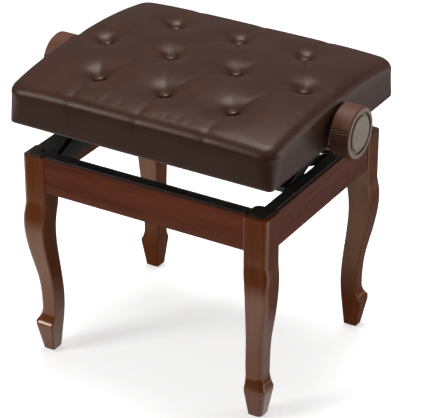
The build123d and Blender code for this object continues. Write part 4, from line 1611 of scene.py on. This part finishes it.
@dataclass
class Studio:
    """Camera, soft lights, pale floor and white surroundings."""

    width: int = 421
    focal_pixels: float = 2200.0
    sensor: float = 36.0
    far_limit: float = 100.0
    distance: float = 3.805
    azimuth: float = 30.83
    elevation: float = 28.21
    target: tuple[float, float, float] = (0.00435, 0.016, 0.24807)
    floor_size: float = 30.0
    floor_pale: Colour = (0.92, 0.92, 0.92, 1.0)
    floor_glow: float = 0.56
    floor_mirrored: Colour = (0.16, 0.16, 0.16, 1.0)
    floor_scattered: Colour = (0.60, 0.585, 0.56, 1.0)
    horizon: Span = (1.0, 2.2)
    sheet_front: Span = (-0.72, -0.45)
    sheet_back: Span = (-0.15, 0.10)
    side_sheet: Span = (0.65, 0.74)
    surroundings: float = 0.27
    light_aim: tuple[float, float, float] = (0.0, 0.0, 0.35)
    lights: tuple[SoftLight, ...] = (
        SoftLight("overhead", (-0.2, 0.45, 3.2), 1.5, 66.0),
        SoftLight("right", (2.7, 1.5, 1.0), 1.4, 20.0),
        SoftLight("front_left", (-2.2, -2.8, 2.0), 1.0, 52.0),
    )

    def camera(self) -> None:
        """Set the camera where the picture was taken from."""
        data = bpy.data.cameras.new("camera")
        data.sensor_width = self.sensor
        data.sensor_fit = "HORIZONTAL"
        data.lens = self.focal_pixels / self.width * self.sensor
        data.clip_end = self.far_limit
        obj = bpy.data.objects.new("camera", data)
        bpy.context.scene.collection.objects.link(obj)
        around, up = math.radians(self.azimuth), math.radians(self.elevation)
        way = Vector((math.sin(around) * math.cos(up), -math.cos(around) * math.cos(up), math.sin(up)))
        obj.location = Vector(self.target) + way * self.distance
        obj.rotation_euler = (-way).to_track_quat("-Z", "Y").to_euler()
        bpy.context.scene.camera = obj

    def _sheets(self, shader: Shader, place: Signal) -> Signal:
        """Find the two parts of the floor that the lacquer mirrors as pale.

        Args:
            shader: the floor's graph.
            place: the point on the floor.

        Returns:
            1 on the sheets before and beside the bench, 0 elsewhere.
        """
        axes = shader.node("ShaderNodeSeparateXYZ", None, {0: place})
        along, depth = Signal(shader, axes.outputs["X"]), Signal(shader, axes.outputs["Y"])
        behind = shader.mask(depth, self.sheet_back)
        before = shader.mask(depth, self.sheet_front) * (1 - behind)
        return before + shader.mask(along, self.side_sheet) * behind

    def _floor_finish(self) -> bpy.types.Material:
        """Pale where it is seen or mirrored on the sheets, running out to white, and matt for other rays.

        Returns:
            The floor's finish.
        """
        shader = Shader.named("pale_floor")
        path = shader.node("ShaderNodeLightPath")
        seen = Signal(shader, path.outputs["Is Camera Ray"])
        mirrored = Signal(shader, path.outputs["Is Glossy Ray"])
        scattered = Signal(shader, path.outputs["Is Diffuse Ray"])
        place = shader.place()
        grey = shader.mix(scattered, self.floor_mirrored, self.floor_scattered)
        matt = shader.signal("ShaderNodeBsdfDiffuse", None, {"Color": grey})
        lit = shader.signal("ShaderNodeBsdfDiffuse", None, {"Color": self.floor_pale})
        glow = shader.signal("ShaderNodeEmission", None, {"Color": WHITE, "Strength": self.floor_glow})
        near = shader.signal("ShaderNodeAddShader", None, {0: lit, 1: glow})
        white = shader.signal("ShaderNodeEmission", None, {"Color": WHITE, "Strength": 1.0})
        away = shader.signal("ShaderNodeVectorMath", {"operation": "LENGTH"}, {0: place}, "Value")
        pale = shader.mix_shaders(shader.mask(away, self.horizon), near, white)
        both = shader.mix_shaders(seen + mirrored * self._sheets(shader, place), matt, pale)
        shader.node("ShaderNodeOutputMaterial", None, {"Surface": both})
        return shader.owner

    def floor(self) -> None:
        """Lay a pale floor that shows the bench's shadow."""
        half = self.floor_size / 2
        corners = np.array([(-half, -half, 0.0), (half, -half, 0.0), (half, half, 0.0), (-half, half, 0.0)])
        obj = new_object("floor", corners, [(0, 1, 2, 3)])
        dress(obj, self._floor_finish())

    def world(self) -> None:
        """Even, weak light from all round, seen as plain white."""
        world = bpy.data.worlds.new("surroundings")
        shader = Shader(world)
        seen = shader.signal("ShaderNodeLightPath", output="Is Camera Ray")
        even = shader.signal("ShaderNodeBackground", None, {"Strength": self.surroundings})
        white = shader.signal("ShaderNodeBackground", None, {"Color": WHITE, "Strength": 1.0})
        both = shader.mix_shaders(seen, even, white)
        shader.node("ShaderNodeOutputWorld", None, {"Surface": both})
        bpy.context.scene.world = world

    def build(self) -> None:
        """Set everything up."""
        bpy.context.scene.view_settings.view_transform = "Standard"
        self.camera()
        self.floor()
        self.world()
        for light in self.lights:
            light.hang(self.light_aim)


def main() -> None:
    """Build the looks of the whole bench."""
    logging.basicConfig(level=logging.INFO, format="%(name)s: %(message)s")
    lacquer = {
        Grain.ALONG_X: Lacquer("mahogany_long_rails", Grain.ALONG_X, Stain.RAILS).material(),
        Grain.ALONG_Y: Lacquer("mahogany_short_rails", Grain.ALONG_Y, Stain.RAILS).material(),
        Grain.ALONG_Z: Lacquer("mahogany_legs", Grain.ALONG_Z, Stain.LEGS, pore_share=0.25).material(),
    }
    bare = BareWood("bare_wood", Grain.ALONG_X).material()
    seat_vinyl = Vinyl(
        name="brown_vinyl",
        colour=(0.042, 0.0150, 0.0090, 1.0),
        worn=(0.052, 0.0195, 0.0120, 1.0),
        roughness=0.32,
    ).material()
    # Painted light: the buttons' vinyl is lighter than the seat's, standing in for the light on their
    # upturned tops.
    button_vinyl_painted_lighter = Vinyl(
        name="button_vinyl_painted_lighter",
        colour=(0.055, 0.0210, 0.0130, 1.0),
        worn=(0.065, 0.0260, 0.0165, 1.0),
        roughness=0.24,
    ).material()
    paint = PaintedSteel("black_paint").material()
    zinc = ZincSteel("zinc_plate").material()
    knob = MouldedPlastic(
        name="knob_plastic",
        colour=(0.108, 0.041, 0.023, 1.0),
        faded=(0.130, 0.051, 0.030, 1.0),
        roughness=0.46,
        # Pale end faces: painted reflection.
        painted_end_reflection=(0.280, 0.220, 0.178, 1.0),
    ).material()
    # The caps' pale colour is painted reflection on the knobs' faces.
    cap = MouldedPlastic(
        name="knob_cap",
        colour=(0.260, 0.195, 0.155, 1.0),
        faded=(0.310, 0.240, 0.195, 1.0),
        roughness=0.22,
    ).material()
    glide = MouldedPlastic(
        name="glide_nylon",
        colour=(0.025, 0.024, 0.023, 1.0),
        faded=(0.040, 0.038, 0.036, 1.0),
        roughness=0.5,
    ).material()
    bush = MouldedPlastic(
        name="bush_nylon",
        colour=(0.62, 0.60, 0.55, 1.0),
        faded=(0.72, 0.70, 0.65, 1.0),
        roughness=0.45,
    ).material()

    cover = SeatCover()
    cover.dress(cover.build(), seat_vinyl)
    buttons = CoverButtons(cover)
    buttons.dress(buttons.build(), button_vinyl_painted_lighter)
    Woodwork().dress(lacquer, bare, glide)
    LiftSteel().dress(paint, zinc)
    frame_screws = CrossHeadScrews("frame_screws", "base", head_up=True)
    frame_screws.dress(frame_screws.build(), paint)
    seat_screws = CrossHeadScrews("seat_screws", "seat", head_up=False)
    seat_screws.dress(seat_screws.build(), zinc)
    spindle = ThreadedSpindle()
    spindle.dress(spindle.build(), zinc)
    Knobs().dress(knob, cap, bush)
    Studio().build()
    LOG.info("studio set")


if __name__ == "__main__":
    main()
